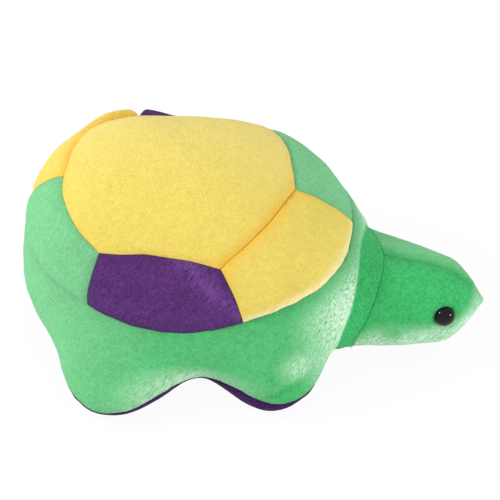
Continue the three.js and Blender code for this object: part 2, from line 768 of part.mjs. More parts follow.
for (const { name, half, place } of eyes) {
  const shankHole = cylinderAlong(eyeShankDiameter / 2 + seamGap, -eyeShankLength, eyeDomeHeight);
  const panel = headSkin.intersect(half).intersect(aboveChin);
  const pierced = panel.subtract(solidOf(shankHole.applyMatrix4(place)));
  addPiece(`head_${name}_panel`, geometryFrom(pierced), finishes.green);
}
addPiece('chin_panel', geometryFrom(headSkin.intersect(belowChin)), finishes.purple);

// Head stuffing: fills the head and ends in a ball that turns in the neck. It
// keeps clear of the body at every angle of the nod.
const flapSpace = headOutside.subtract(headSolid(seamAllowance + seamGap));
const chinFlapSpace = headOutside.subtract(headSolid(chinSeamAllowance + seamGap));
const flapSpaceHalf = flapHalf + seamGap;
const bodyEnvelope = bodySolid(() => seamGap);
const nodSweep = [];
for (let i = 0; i <= nodSteps; i++) {
  const nod = THREE.MathUtils.radToDeg(nodDown - (nodDown + nodUp) * i / nodSteps);
  nodSweep.push(bodyEnvelope.translate([-neckPivotX, 0, -headAxisZ]).rotate([0, -nod, 0])
    .translate([neckPivotX, 0, headAxisZ]));
}
const washerPockets = eyes.map(({ place }) => {
  const pocket = cylinderAlong(washerDiameter / 2 + seamGap, -eyeShankLength - seamGap, eyeDomeHeight);
  return solidOf(pocket.applyMatrix4(place));
});
const headFilling = subtractAll(headSolid(fleeceThickness + seamGap), [
  flapSpace.intersect(midlineSlab(flapSpaceHalf)),
  chinFlapSpace.intersect(chinSlab(-flapSpaceHalf, flapSpaceHalf)),
  ...nodSweep,
  ...washerPockets,
]);
const headStuffing = headFilling.add(ballAt(neckBallRadius, neckPivot));
addPiece('head_stuffing', geometryFrom(headStuffing), finishes.fibre);

for (const { name, place } of eyes) {
  addPiece(`eye_${name}`, turned(eyeProfile()).applyMatrix4(place), finishes.eye);
  addPiece(`eye_washer_${name}`, turned(washerProfile()).applyMatrix4(place), finishes.washer);
}

export default turtle;
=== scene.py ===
"""A stuffed turtle sewn from napped fleece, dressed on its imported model."""

import math

import bmesh
import bpy
import numpy as np
from bpy.props import FloatProperty, FloatVectorProperty, PointerProperty
from mathutils import Matrix, Vector
from mathutils.bvhtree import BVHTree
from mathutils.kdtree import KDTree


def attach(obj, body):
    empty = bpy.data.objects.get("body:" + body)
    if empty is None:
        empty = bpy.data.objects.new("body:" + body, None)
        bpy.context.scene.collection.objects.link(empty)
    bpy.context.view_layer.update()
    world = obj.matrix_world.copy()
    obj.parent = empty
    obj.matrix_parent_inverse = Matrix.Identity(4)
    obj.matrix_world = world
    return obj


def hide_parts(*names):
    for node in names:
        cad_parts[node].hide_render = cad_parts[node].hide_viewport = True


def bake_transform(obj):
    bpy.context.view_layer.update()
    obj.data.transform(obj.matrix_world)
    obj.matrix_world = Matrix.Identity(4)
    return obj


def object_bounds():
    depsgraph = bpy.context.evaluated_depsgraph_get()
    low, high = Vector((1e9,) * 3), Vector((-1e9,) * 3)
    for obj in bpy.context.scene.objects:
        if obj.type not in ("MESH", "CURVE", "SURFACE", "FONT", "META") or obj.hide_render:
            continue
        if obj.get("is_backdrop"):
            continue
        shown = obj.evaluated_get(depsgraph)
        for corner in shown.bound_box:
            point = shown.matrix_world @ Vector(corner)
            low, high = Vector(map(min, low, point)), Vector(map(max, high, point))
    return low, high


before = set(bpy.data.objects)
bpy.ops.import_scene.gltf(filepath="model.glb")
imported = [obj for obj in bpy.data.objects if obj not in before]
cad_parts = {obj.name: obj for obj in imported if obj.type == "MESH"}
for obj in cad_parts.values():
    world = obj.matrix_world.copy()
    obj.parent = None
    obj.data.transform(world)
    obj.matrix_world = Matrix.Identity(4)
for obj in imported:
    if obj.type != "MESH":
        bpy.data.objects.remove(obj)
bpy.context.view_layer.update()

bl_info = {
    "name": "Sewn turtle",
    "version": (1, 0, 0),
    "blender": (4, 5, 0),
    "location": "View3D > Sidebar > Turtle",
    "description": "Builds the fleece, the filling and the eyes of a small stuffed turtle",
    "category": "Add Mesh",
}

MM = 0.001

# Shell dome
SHELL_FRONT, SHELL_REAR, SHELL_SIDE = 65.5 * MM, 75 * MM, 54.2 * MM
SHELL_TOP_X, SHELL_TOP_Z = -12 * MM, 98.2 * MM
SHELL_SQUARENESS = 2.26

# Values at the front, front corner, side, rear corner and rear
KEY_BEARINGS = np.radians([0, 60, 90, 133, 180])
RIM_HEIGHTS = 55 * MM * np.array([1, 0.92, 0.767, 0.838, 0.949])
RIM_STEEPNESS = np.radians([62, 78, 78, 88, 86])
BELLY_SEAM_HEIGHTS = 15 * MM * np.array([0.8, 1.13, 1, 1, 0.93])
BAND_BULGES = np.array([1, 0.455, 0.6, 0.173, 0.2])

# Belly seam between the feet, and the feet
BELLY_FRONT, BELLY_REAR, BELLY_SIDE = 64.8 * MM, 72 * MM, 52 * MM
BELLY_SQUARENESS = 2.6
BAND_LOWER_PULL, BAND_LOWER_RISE = 0.206, 0.345
FOOT_LOWER_PULL, FOOT_LOBE_POWER = 0.018, 2.4
FEET = [
    {"bearing": math.radians(46), "spread": math.radians(19.6), "reach": 72.9 * MM, "height": 6.7 * MM,
     "lean": 0, "lean_bearing": math.radians(60), "lean_spread": math.radians(17)},
    {"bearing": math.radians(118), "spread": math.radians(22.8), "reach": 79.4 * MM, "height": 5.4 * MM,
     "lean": 0.88, "lean_bearing": math.radians(100), "lean_spread": math.radians(10)},
]
BELLY_LEAN = 1.1

# Hollow between the chest and each front foot
HOLLOW_BEARING, HOLLOW_SPREAD, HOLLOW_POWER = math.radians(29), math.radians(14), 2
HOLLOW_DEPTH, HOLLOW_BULGE = 3.3 * MM, 0.38
BELLY_CORNER_WIDTH, FOOT_CORNER_WIDTH = 2.2, 1.4
BELLY_CORNER = 0.5
BODY_MIDDLE = np.array([0, 0, SHELL_TOP_Z / 2])

# Shell's sewing pattern, from the front corner round by the right
CORNER_BEARINGS = np.radians([-0.8, -67.3, -128.6, -169.5, -231.4, -294])
CORNER_SHARES = np.array([0.60, 0.69, 0.672, 0.534, 0.62, 0.701])
SEAM_ENDS = np.radians([8.6, -62.2, -130, -181.6, -230, -298, -351.4])
EDGE_BOW = 0.035
REAR_SEAM = SEAM_ENDS[3]

# Head
NECK_X, NECK_Z = 72 * MM, 25.6 * MM
NECK_INNER_X, NECK_START_X = 64 * MM, 57 * MM
WIDEST_X, NOSE_X, NOSE_LIFT = 104.5 * MM, 123 * MM, 1.4 * MM
NECK_WIDTH, CHEEK_WIDTH = 27.3 * MM, 15.4 * MM
NECK_HEIGHT, CHEEK_HEIGHT, CHIN_HEIGHT = 23.8 * MM, 16.2 * MM, 19.1 * MM
CHIN_SQUARENESS, CHEEK_TAPER, CHEEK_BLEND, NOSE_ROUND, TIP_ROUND = 2.3, 0.66, 0.06, 1.27, 0.11
CHIN_DROP_NECK, CHIN_DROP_NOSE, CHIN_REACH = 13.6 * MM, 16.8 * MM, 36 * MM
EYE_X, EYE_RISES, EYE_SINK = 107.7 * MM, {-1: 4.6 * MM, 1: 1.9 * MM}, 1.3 * MM

# Seam round the neck: how far forward it runs, by angle from the left side over the top
NECK_SEAM_ANGLES = np.array([0, 45, 60, 76, 93, 117, 142, 163, 187, 205, 270])
NECK_SEAM_PLACES = np.array([69, 71, 73.2, 77, 79.5, 79.4, 77.5, 75, 71.6, 70, 68]) * MM
COLLAR_DEPTH, COLLAR_EDGE, NECK_SEAM_EASE = 7 * MM, 0.8 * MM, 3 * MM
COLLAR_BLEND, COLLAR_TUCK, PLAIN_HEAD_LEAD = 3 * MM, 1.5 * MM, 6 * MM
COLLAR_ROLL, COLLAR_ROLL_WIDTH, COLLAR_ROLL_FADE = 1.2 * MM, 4 * MM, 6 * MM
MIDLINE_ROLL = math.radians(5)

# Grids: rows that turn in at a sewn edge, and how far short of the seam's middle the edge stops
FLAP_ROWS, EDGE_SHARE = 2, 0.002
REAR_EDGE_SHARE = EDGE_SHARE / 9  # the band is about nine times as long as it is high
CENTRE_RINGS, BELLY_RINGS = 62, 76
RING_GRID, BAND_GRID, HEAD_GRID, CHIN_GRID, PLAIN_HEAD_GRID = (110, 76), (560, 66), (150, 100), (110, 60), (80, 96)
SLOPE_STEP, HEAD_STEP, MERGE, MERGE_FINE = 1e-4, 1e-6, 2e-6, 1e-6
TURN_STEPS, SHARP_ANGLE = 64, math.radians(38)


def length_prop(name, description, default, low, high):
    """A size, given in millimetres"""
    return FloatProperty(
        name=name, description=description, default=default * MM, min=low * MM, max=high * MM, unit="LENGTH")


def colour_prop(name, description, default):
    return FloatVectorProperty(
        name=name, description=description, default=default, size=3, min=0, max=1, subtype="COLOR")


class TurtleSewing(bpy.types.PropertyGroup):
    """Sizes of the sewing and the fleece"""

    fleece_thickness: length_prop("Fleece thickness", "Thickness of the napped fleece with its backing", 1.4, 0.5, 3)
    seam_depth: length_prop("Seam depth", "How far the fleece rolls down into a seam", 1.05, 0, 4)
    seam_width: length_prop("Seam width", "Width over which the fleece rolls down to a seam", 4.5, 1, 8)
    seam_allowance: length_prop("Seam allowance", "How far a sewn edge turns in", 2.6, 1, 6)
    crown: length_prop("Crown", "How far a panel swells between its seams", 0.5, 0, 3)
    lump_height: length_prop("Lump height", "Unevenness of the filling under the fleece", 0.45, 0, 2)
    pucker_height: length_prop("Pucker height", "Small gathers along the seams", 0.35, 0, 2)
    fill: FloatProperty(
        name="Fill", description="How tightly the toy is stuffed", default=0.75, min=0, max=1, subtype="FACTOR")


class TurtleColours(bpy.types.PropertyGroup):
    """Colours of the fleece, the filling and the eyes"""

    yellow: colour_prop("Yellow", "Pale side of the yellow fleece", (0.84, 0.69, 0.16))
    yellow_deep: colour_prop("Deep yellow", "Yellow fleece seen into its pile", (0.72, 0.56, 0.10))
    # Seam colours are painted: orange bounce light in yellow seams, painted shade in green and purple ones
    yellow_seam_bounce: colour_prop("Yellow seam", "Tint of the yellow pile beside a seam", (0.85, 0.50, 0.055))
    green: colour_prop("Green", "Light side of the green fleece", (0.066, 0.57, 0.18))
    green_deep: colour_prop("Deep green", "Green fleece seen into its pile", (0.030, 0.345, 0.088))
    green_seam_shade: colour_prop("Green seam", "Tint of the green pile beside a seam", (0.02, 0.30, 0.075))
    purple: colour_prop("Purple", "Light side of the purple fleece", (0.125, 0.029, 0.205))
    purple_deep: colour_prop("Deep purple", "Purple fleece seen into its pile", (0.008, 0.0015, 0.02))
    purple_seam_shade: colour_prop("Purple seam", "Tint of the purple pile beside a seam", (0.030, 0.007, 0.06))
    # Colour of the pale nap tips, which also serves as a painted sheen highlight
    frost: colour_prop("Nap tips", "Pale tips of the pile where the nap is brushed up", (0.66, 0.90, 0.68))
    fibre: colour_prop("Fibre", "Polyester filling", (0.88, 0.87, 0.84))
    eye: colour_prop("Eye", "Black plastic of the eyes", (0.006, 0.006, 0.007))
    washer: colour_prop("Washer", "Natural plastic of the lock washers", (0.72, 0.72, 0.69))


class TurtleView(bpy.types.PropertyGroup):
    """Camera and light"""

    azimuth: FloatProperty(
        name="Azimuth", description="Bearing of the camera, 0 looks at the turtle's right side",
        default=math.radians(9.27), subtype="ANGLE")
    elevation: FloatProperty(
        name="Elevation", description="Height of the camera above the horizon",
        default=math.radians(46), subtype="ANGLE")
    distance: FloatProperty(
        name="Distance", description="From the camera to what it looks at", default=0.9, min=0.2, unit="LENGTH")
    lens: FloatProperty(name="Lens", description="Focal length in millimetres", default=150.7, min=10)
    sky: FloatProperty(name="Sky", description="Strength of the even light from all round", default=0.8, min=0)


def sewing():
    return bpy.context.scene.turtle_sewing


def colours():
    return bpy.context.scene.turtle_colours


# Shape of the sewn surface: every function takes arrays and gives points in metres


def around_body(values, bearing):
    """Value between the five key bearings, alike on both sides"""
    place, keys = np.cos(bearing), np.cos(KEY_BEARINGS)
    total = np.zeros_like(place)
    for i, value in enumerate(values):
        weight = np.full_like(place, value)
        for j, key in enumerate(keys):
            if j != i:
                weight = weight * (place - key) / (keys[i] - key)
        total = total + weight
    return total


def oval_radius(bearing, front, rear, side, squareness):
    along, across = np.cos(bearing), np.sin(bearing)
    front_share = (1 + np.tanh(3 * along)) / 2
    reach = front * front_share + rear * (1 - front_share)
    power = np.abs(along / reach) ** squareness + np.abs(across / side) ** squareness
    return power ** (-1 / squareness)


def rim_radius(bearing):
    return oval_radius(bearing, SHELL_FRONT, SHELL_REAR, SHELL_SIDE, SHELL_SQUARENESS)


def ring_point(radius, bearing, height):
    return np.stack([radius * np.cos(bearing), radius * np.sin(bearing), height + 0 * bearing], axis=-1)


def lobe_at(bearing, middle, spread, power=FOOT_LOBE_POWER):
    """How far a bearing lies within a lobe, alike on both sides"""
    turn = np.abs(np.arctan2(np.sin(bearing), np.cos(bearing)))
    return np.exp(-(np.abs((turn - middle) / spread) ** power))


def belly_seam(bearing):
    """Radius, height, pull, corner width and lean at the belly seam"""
    radius = oval_radius(bearing, BELLY_FRONT, BELLY_REAR, BELLY_SIDE, BELLY_SQUARENESS)
    radius = radius - HOLLOW_DEPTH * lobe_at(bearing, HOLLOW_BEARING, HOLLOW_SPREAD, HOLLOW_POWER)
    height = around_body(BELLY_SEAM_HEIGHTS, bearing)
    pull = np.full_like(bearing, BAND_LOWER_PULL)
    width = np.full_like(bearing, BELLY_CORNER_WIDTH)
    lean = np.full_like(bearing, BELLY_LEAN)
    for foot in FEET:
        lobe = lobe_at(bearing, foot["bearing"], foot["spread"])
        lean_lobe = lobe_at(bearing, foot["lean_bearing"], foot["lean_spread"])
        radius = radius + (foot["reach"] - radius) * lobe
        height = height + (foot["height"] - height) * lobe
        pull = pull + (FOOT_LOWER_PULL - pull) * lobe
        width = width + (FOOT_CORNER_WIDTH - width) * lobe
        lean = lean + (foot["lean"] - lean) * lean_lobe
    return radius, height, pull, width, lean


def shell_point(bearing, share):
    """Shell: share 0 at the top and 1 at the rim"""
    steep = around_body(RIM_STEEPNESS, bearing)
    height = around_body(RIM_HEIGHTS, bearing)
    out = np.sin(steep * share) / np.sin(steep)
    up = (np.cos(steep * share) - np.cos(steep)) / (1 - np.cos(steep))
    point = ring_point(rim_radius(bearing) * out, bearing, height + (SHELL_TOP_Z - height) * up)
    point[..., 0] += SHELL_TOP_X * (1 - out)
    return point


def band_point(bearing, share):
    """Band: share 0 at the shell's rim and 1 at the belly seam"""
    steep = around_body(RIM_STEEPNESS, bearing)
    top_radius, top_height = rim_radius(bearing), around_body(RIM_HEIGHTS, bearing)
    seam_radius, seam_height, pull, _, _ = belly_seam(bearing)
    out = (top_radius - SHELL_TOP_X * np.cos(bearing)) / np.tan(steep)
    down = (SHELL_TOP_Z - top_height) * np.sin(steep) / (1 - np.cos(steep))
    slope = np.hypot(out, down)
    drop = np.hypot(top_radius - seam_radius, top_height - seam_height)
    hollow = 1 - HOLLOW_BULGE * lobe_at(bearing, HOLLOW_BEARING, HOLLOW_SPREAD, HOLLOW_POWER)
    bulge = drop * around_body(BAND_BULGES, bearing) * hollow
    weights = [(1 - share) ** 3, 3 * (1 - share) ** 2 * share, 3 * (1 - share) * share**2, share**3]
    radii = [top_radius, top_radius + bulge * out / slope, seam_radius + pull * drop, seam_radius]
    heights = [top_height, top_height - bulge * down / slope, seam_height + BAND_LOWER_RISE * drop, seam_height]
    radius = sum(w * r for w, r in zip(weights, radii))
    height = sum(w * h for w, h in zip(weights, heights))
    return ring_point(radius, bearing, height)


def belly_point(bearing, share):
    """Belly: share 0 at the belly seam and 1 in the middle of the flat"""
    seam_radius, seam_height, _, corner_width, lean_share = belly_seam(bearing)
    lean = seam_height * lean_share
    width = seam_height * np.maximum(corner_width, lean_share)
    turn = np.minimum(1, share / BELLY_CORNER)
    flat = np.maximum(0, share - BELLY_CORNER) / (1 - BELLY_CORNER)
    under = 2 * turn * (1 - turn) * lean + turn**2 * width
    return ring_point((seam_radius - under) * (1 - flat), bearing, seam_height * (1 - turn) ** 2)


def unit(vectors):
    return vectors / np.maximum(np.linalg.norm(vectors, axis=-1, keepdims=True), 1e-12)


def outward(surface, first, second):
    """Outward direction of a surface from its slopes both ways"""
    along = surface(first + SLOPE_STEP, second) - surface(first - SLOPE_STEP, second)
    down = surface(first, second + SLOPE_STEP) - surface(first, second - SLOPE_STEP)
    out = unit(np.cross(along, down))
    inward = ((surface(first, second) - BODY_MIDDLE) * out).sum(-1, keepdims=True) < 0
    return np.where(inward, -out, out)


def disc_point(x, y):
    """Shell over a flat disc whose edge is the rim"""
    return shell_point(np.arctan2(y, x), np.hypot(x, y))


def centre_edge(k, share):
    """Edge k of the centre panel on the disc, bowed a little outwards"""
    n = (k + 1) % 6
    start = CORNER_SHARES[k] * np.array([np.cos(CORNER_BEARINGS[k]), np.sin(CORNER_BEARINGS[k])])
    end = CORNER_SHARES[n] * np.array([np.cos(CORNER_BEARINGS[n]), np.sin(CORNER_BEARINGS[n])])
    share = np.asarray(share)[..., None]
    middle = start + (end - start) * share
    return middle + unit(middle) * EDGE_BOW * 4 * share * (1 - share)


def edge_line(edges, count, **spacing):
    """Points along edges of the centre panel, on the disc"""
    return np.concatenate([centre_edge(k, np.linspace(0, 1, count, **spacing)) for k in edges])


def belly_seam_out(bearing):
    ones = np.ones_like(bearing)
    above = outward(band_point, bearing, ones)
    return unit(above + outward(belly_point, bearing, ones * SLOPE_STEP))


def signed_power(value, power):
    return np.sign(value) * np.abs(value) ** power


def head_section(x, up):
    back = (WIDEST_X - x) / (WIDEST_X - NECK_INNER_X)
    back = (back + np.hypot(back, CHEEK_BLEND)) / 2
    nose = np.clip((x - WIDEST_X) / (NOSE_X - WIDEST_X), 0, 1)
    rounded = np.sqrt((1 - nose**2) ** (2 * NOSE_ROUND) + TIP_ROUND * (1 - nose**2))
    width = CHEEK_WIDTH + (NECK_WIDTH - CHEEK_WIDTH) * back**CHEEK_TAPER
    crown = CHEEK_HEIGHT + (NECK_HEIGHT - CHEEK_HEIGHT) * back
    return width * rounded, np.where(up, crown, CHIN_HEIGHT) * rounded, NECK_Z + NOSE_LIFT * nose**2


def head_point(x, angle):
    """Head: angle from the left side over the top"""
    up = np.sin(angle) > 0
    width, height, middle = head_section(x, up)
    power = np.where(up, 1, 2 / CHIN_SQUARENESS)
    across, rise = signed_power(np.cos(angle), power), signed_power(np.sin(angle), power)
    return np.stack([x + 0 * angle, width * across, middle + height * rise], axis=-1)


def head_angle(points):
    """Angle round the head at which points lie"""
    up = points[:, 2] > NECK_Z
    width, height, middle = head_section(points[:, 0], up)
    across, rise = points[:, 1] / width, (points[:, 2] - middle) / height
    power = np.where(up, 1, CHIN_SQUARENESS / 2)
    return np.arctan2(signed_power(rise, power), signed_power(across, power))


def neck_seam_place(angle):
    """How far forward the neck seam runs, by angle round the head"""
    turns = np.degrees(angle)[..., None] + np.linspace(-12, 12, 9)
    return np.interp(turns, NECK_SEAM_ANGLES, NECK_SEAM_PLACES, period=360).mean(axis=-1)


def head_out(x, angle):
    x = np.minimum(x, NOSE_X - 0.1 * MM)
    along = head_point(x + HEAD_STEP, angle) - head_point(x - HEAD_STEP, angle)
    around = head_point(x, angle + SLOPE_STEP) - head_point(x, angle - SLOPE_STEP)
    return unit(np.cross(around, along))


def midline_angle(x):
    """Angle of the seam along the top, which rolls a little away to the left"""
    return np.pi / 2 - MIDLINE_ROLL * smooth_step(x, NECK_X, WIDEST_X)


def chin_angle(x):
    """Angle below the side at which the chin seam runs"""
    drop = CHIN_DROP_NECK + (CHIN_DROP_NOSE - CHIN_DROP_NECK) * (x - NECK_X) / CHIN_REACH
    _, height, _ = head_section(x, False)
    return np.arcsin(np.clip(drop / np.maximum(height, 1e-9), 0, 1) ** (CHIN_SQUARENESS / 2))


def eye_place(side):
    """Matrix that puts an eye's axis along the outward direction of the skin"""
    _, height, _ = head_section(EYE_X, True)
    angle = math.asin(EYE_RISES[side] / float(height))
    angle = angle if side > 0 else math.pi - angle
    seat = head_point(np.array([EYE_X]), np.array([angle]))[0]
    out = Vector(head_out(np.array([EYE_X]), np.array([angle]))[0])
    turn = Vector((0, 0, 1)).rotation_difference(out).to_matrix().to_4x4()
    return Matrix.Translation(Vector(seat) - out * EYE_SINK) @ turn


# Noise on points, the same on both sides of a seam

NOISE_VALUES = np.random.default_rng(11).uniform(-1, 1, 4096)


def soft_noise(points, size, seed=0):
    """Smooth noise from -1 to 1"""
    place = points / size + 31.7 * (seed + 1)
    cell = np.floor(place).astype(np.int64)
    part = place - cell
    part = part * part * (3 - 2 * part)
    total = np.zeros(len(points))
    for corner in np.ndindex(2, 2, 2):
        at = cell + np.array(corner)
        key = (at[:, 0] * 73856093 ^ at[:, 1] * 19349663 ^ at[:, 2] * 83492791) & 4095
        total += np.where(corner, part, 1 - part).prod(axis=1) * NOISE_VALUES[key]
    return total


def smooth_step(value, low, high):
    t = np.clip((value - low) / (high - low), 0, 1)
    return t * t * (3 - 2 * t)


def bell(value, width, middle=0):
    """1 where a value is in the middle, fading to 0 on both sides"""
    return np.exp(-(((value - middle) / width) ** 2))


# Meshes


def read_points(mesh):
    flat = np.empty(len(mesh.vertices) * 3, np.float32)
    mesh.vertices.foreach_get("co", flat)
    return flat.reshape(-1, 3).astype(float)


def write_points(mesh, points):
    mesh.vertices.foreach_set("co", points.astype(np.float32).ravel())
    mesh.update()


def write_attribute(mesh, name, values):
    layer = mesh.attributes.get(name) or mesh.attributes.new(name, "FLOAT", "POINT")
    layer.data.foreach_set("value", np.asarray(values, np.float32))


def bmesh_of(mesh):
    bm = bmesh.new()
    bm.from_mesh(mesh)
    return bm


def mesh_of(bm, name):
    """A new mesh from a bmesh, which is freed"""
    mesh = bpy.data.meshes.new(name)
    bm.to_mesh(mesh)
    bm.free()
    return mesh


def grid_mesh(name, columns, rows):
    """Flat grid of quads, with the column and row of each vertex"""
    bm = bmesh.new()
    bm.loops.layers.uv.new("UVMap")
    bmesh.ops.create_grid(bm, x_segments=columns, y_segments=rows, size=1.0, calc_uvs=True)
    mesh = mesh_of(bm, name)
    flat = read_points(mesh)
    column = np.rint((flat[:, 0] + 1) / 2 * columns).astype(int)
    row = np.rint((flat[:, 1] + 1) / 2 * rows).astype(int)
    return mesh, column, row


def stops(count, start_sewn=True, end_sewn=True, crowding=0.6, edge=EDGE_SHARE):
    """Share of the way across for each line of a grid, and how far it is turned in"""
    inner = count - FLAP_ROWS * (start_sewn + end_sewn)
    index = np.arange(count + 1) - FLAP_ROWS * start_sewn
    even = np.clip(index / inner, 0, 1)
    if start_sewn and end_sewn:
        share = even - crowding / (2 * np.pi) * np.sin(2 * np.pi * even)
    else:
        share = even + (end_sewn - start_sewn) * crowding / np.pi * np.sin(np.pi * even)
    low = edge if start_sewn else 0
    high = 1 - edge if end_sewn else 1
    depth = np.maximum(np.maximum(-index, index - inner), 0) / FLAP_ROWS
    return low + (high - low) * share, depth


def sewn_grid(name, size, first={}, second={}):
    """Grid of a panel, with the share of the way and the turned-in depth of each vertex in both directions"""
    mesh, column, row = grid_mesh(name, *size)
    across, down = stops(size[0], **first), stops(size[1], **second)
    return mesh, *(values[column] for values in across), *(values[row] for values in down)


def gap_to(points, line):
    """Distance of each point from a line given by many points"""
    tree = KDTree(len(line))
    for i, place in enumerate(line):
        tree.insert(place, i)
    tree.balance()
    return np.array([tree.find(place)[2] for place in points])


def signed_gap(points, tree):
    """Distance outside a closed surface, negative inside it"""
    gaps = np.empty(len(points))
    for i, place in enumerate(points):
        near, out, _, gap = tree.find_nearest(Vector(place))
        gaps[i] = gap if (Vector(place) - near).dot(out) > 0 else -gap
    return gaps


# Grain of the fleece's unevenness
CROWN_RUN, LUMP_SIZES, SMALL_LUMP_SHARE, LUMP_SHARE = 9 * MM, (17 * MM, 7 * MM), 0.45, 0.7
PUCKER_SIZE, PUCKER_RUN = 4.2 * MM, 4 * MM
PILE_SIZE, PILE_HEIGHT = 1.1 * MM, 0.05 * MM
WANDER_SIZE, WANDER = 9 * MM, 0.35


def lift_of(base, gap, depth_share, crown_share):
    """How far the fleece stands off the pattern's surface"""
    sizes = sewing()
    turn = np.clip(gap / sizes.seam_width, 0, 1)
    roll = -sizes.seam_depth * depth_share * (1 - turn) ** 2
    crown = sizes.crown * crown_share * (1 - np.exp(-gap / CROWN_RUN))
    uneven = soft_noise(base, LUMP_SIZES[0], 1) + SMALL_LUMP_SHARE * soft_noise(base, LUMP_SIZES[1], 2)
    puckers = soft_noise(base, PUCKER_SIZE, 3) * np.exp(-gap / PUCKER_RUN)
    pile = soft_noise(base, PILE_SIZE, 4)
    return (roll + crown + sizes.lump_height * uneven * LUMP_SHARE
            + sizes.pucker_height * puckers + PILE_HEIGHT * pile)


def wander(base):
    """Small sideways waver, so that no seam is drawn with a ruler"""
    return np.stack([soft_noise(base, WANDER_SIZE, seed) for seed in (5, 6, 7)], axis=-1) * WANDER * MM


def finish_mesh(mesh, middle):
    """Merges the mesh's doubled points and turns its faces away from a middle"""
    bm = bmesh_of(mesh)
    bmesh.ops.remove_doubles(bm, verts=bm.verts, dist=MERGE)
    bmesh.ops.dissolve_degenerate(bm, edges=bm.edges, dist=MERGE)
    bm.normal_update()
    facing = sum(face.normal.dot(face.calc_center_median() - middle) * face.calc_area() for face in bm.faces)
    if facing < 0:
        bmesh.ops.reverse_faces(bm, faces=bm.faces)
    for face in bm.faces:
        face.smooth = True
    bm.to_mesh(mesh)
    bm.free()
    mesh.update()


def new_piece(name, mesh, slot, node, body=None):
    mesh.materials.clear()
    mesh.materials.append(finishes()[slot])
    piece = bpy.data.objects.new(name, mesh)
    bpy.context.scene.collection.objects.link(piece)
    if body:
        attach(piece, body)
    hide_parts(node)
    return piece


# Painted shade beside the seams (painted bounce light in yellow ones), fading over this width
SEAM_SHADE_WIDTH, SEAM_SHADE_POWER = 3.2 * MM, 1.4
TIP_START, TIP_RUN, TIP_LEAST_WALL = 1 * MM, 7 * MM, 0.05  # the wall thins towards the tip of the nose


def sewn_piece(name, mesh, base, out, depth, gap, slot, node, frost=0.0, depth_share=1.0, crown_share=1.0,
               middle=Vector(BODY_MIDDLE), more_lift=0.0, bends=False, opening=None, shrink=1.0, tint=1.0):
    """A panel of fleece, rolled into its seams and turned in at its edges"""
    lift = (lift_of(base, gap, depth_share, crown_share) + more_lift - depth * sewing().seam_allowance) * shrink
    points = base + wander(base) + out * lift[:, None]
    write_points(mesh, points)
    # Painted seam shade, stored for the material
    write_attribute(mesh, "seam", tint * np.exp(-((gap / SEAM_SHADE_WIDTH) ** SEAM_SHADE_POWER)))
    # Share of pale nap tips and painted sheen highlight, stored for the material
    write_attribute(mesh, "frost", frost + np.zeros(len(base)))
    if opening is not None:
        cut_opening(mesh, opening)
    finish_mesh(mesh, middle)
    piece = new_piece(name, mesh, slot, node, None if bends else "body")
    thin = piece.vertex_groups.new(name="wall")
    for i, far in enumerate(read_points(mesh)[:, 0]):
        thin.add([i], float(np.clip((NOSE_X + TIP_START - far) / TIP_RUN, TIP_LEAST_WALL, 1)), "REPLACE")
    wall = piece.modifiers.new("thickness", "SOLIDIFY")
    wall.thickness, wall.offset, wall.use_rim = sewing().fleece_thickness, -1, True
    wall.vertex_group = thin.name
    if bends:
        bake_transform(piece)


def blob(base, place, radii):
    """1 at a place, fading to 0 around it, both given in millimetres"""
    return np.exp(-((((base - np.array(place) * MM) / (np.array(radii) * MM)) ** 2).sum(axis=1)))


def right_side(base):
    """The same places on one side of the toy"""
    return np.stack([base[:, 0], np.abs(base[:, 1]), base[:, 2]], axis=-1)


# Pale brushed-up nap tips, painted sheen highlight and painted light on the band, with painted shade under the toe
# crease: strengths, with bearings from the nose in degrees, heights and places in millimetres
CHEST_SHEEN, CHEST_BEARINGS, CHEST_TOP_FADE, CHEST_TOP = 0.95, (18, 54), 0.8, (42, 55)
FOOT_SHEEN, FOOT_BEARING, FOOT_WIDTH, FOOT_TOP = 0.5, 35, 8, (24, 36)
SIDE_TIPS_AND_SHEEN, REAR_LIGHT, REAR_BEARINGS = 0.07, 0.18, (85, 150)
ARCH_SHEEN, ARCH_BEARING, ARCH_WIDTH, ARCH_TOP = 0.72, 86, 22, (17, 31)
INSTEP_SHEEN, INSTEP = 0.62, ((51, 50, 27), (9, 10, 7))
TOE_SHADE, TOE = 0.95, ((49, 53, 12.5), (9, 8, 4.6))


def band_tips_and_light(base, collar):
    """Share of pale nap tips and painted light on the band: painted sheen highlight mostly on the chest, over the
    feet and low along the side, painted light towards the lit rear, and painted shade under the crease of the front
    feet
    """
    bearing = np.abs(np.degrees(np.arctan2(base[:, 1], base[:, 0])))
    height = base[:, 2] / MM
    side = right_side(base)
    # Painted highlights where light grazes the chest, the feet and the low side; painted light on the rear
    chest = CHEST_SHEEN * (1 - smooth_step(bearing, *CHEST_BEARINGS)) * (
        1 - CHEST_TOP_FADE * smooth_step(height, *CHEST_TOP))
    foot_front = FOOT_SHEEN * bell(bearing, FOOT_WIDTH, FOOT_BEARING) * (1 - smooth_step(height, *FOOT_TOP))
    rear = SIDE_TIPS_AND_SHEEN + REAR_LIGHT * smooth_step(bearing, *REAR_BEARINGS)
    instep = INSTEP_SHEEN * blob(side, *INSTEP)
    shade = 1 - TOE_SHADE * blob(side, *TOE)
    arch = ARCH_SHEEN * bell(bearing, ARCH_WIDTH, ARCH_BEARING) * (1 - smooth_step(height, *ARCH_TOP))
    return np.maximum.reduce([chest, foot_front, rear, instep, arch]) * collar * shade


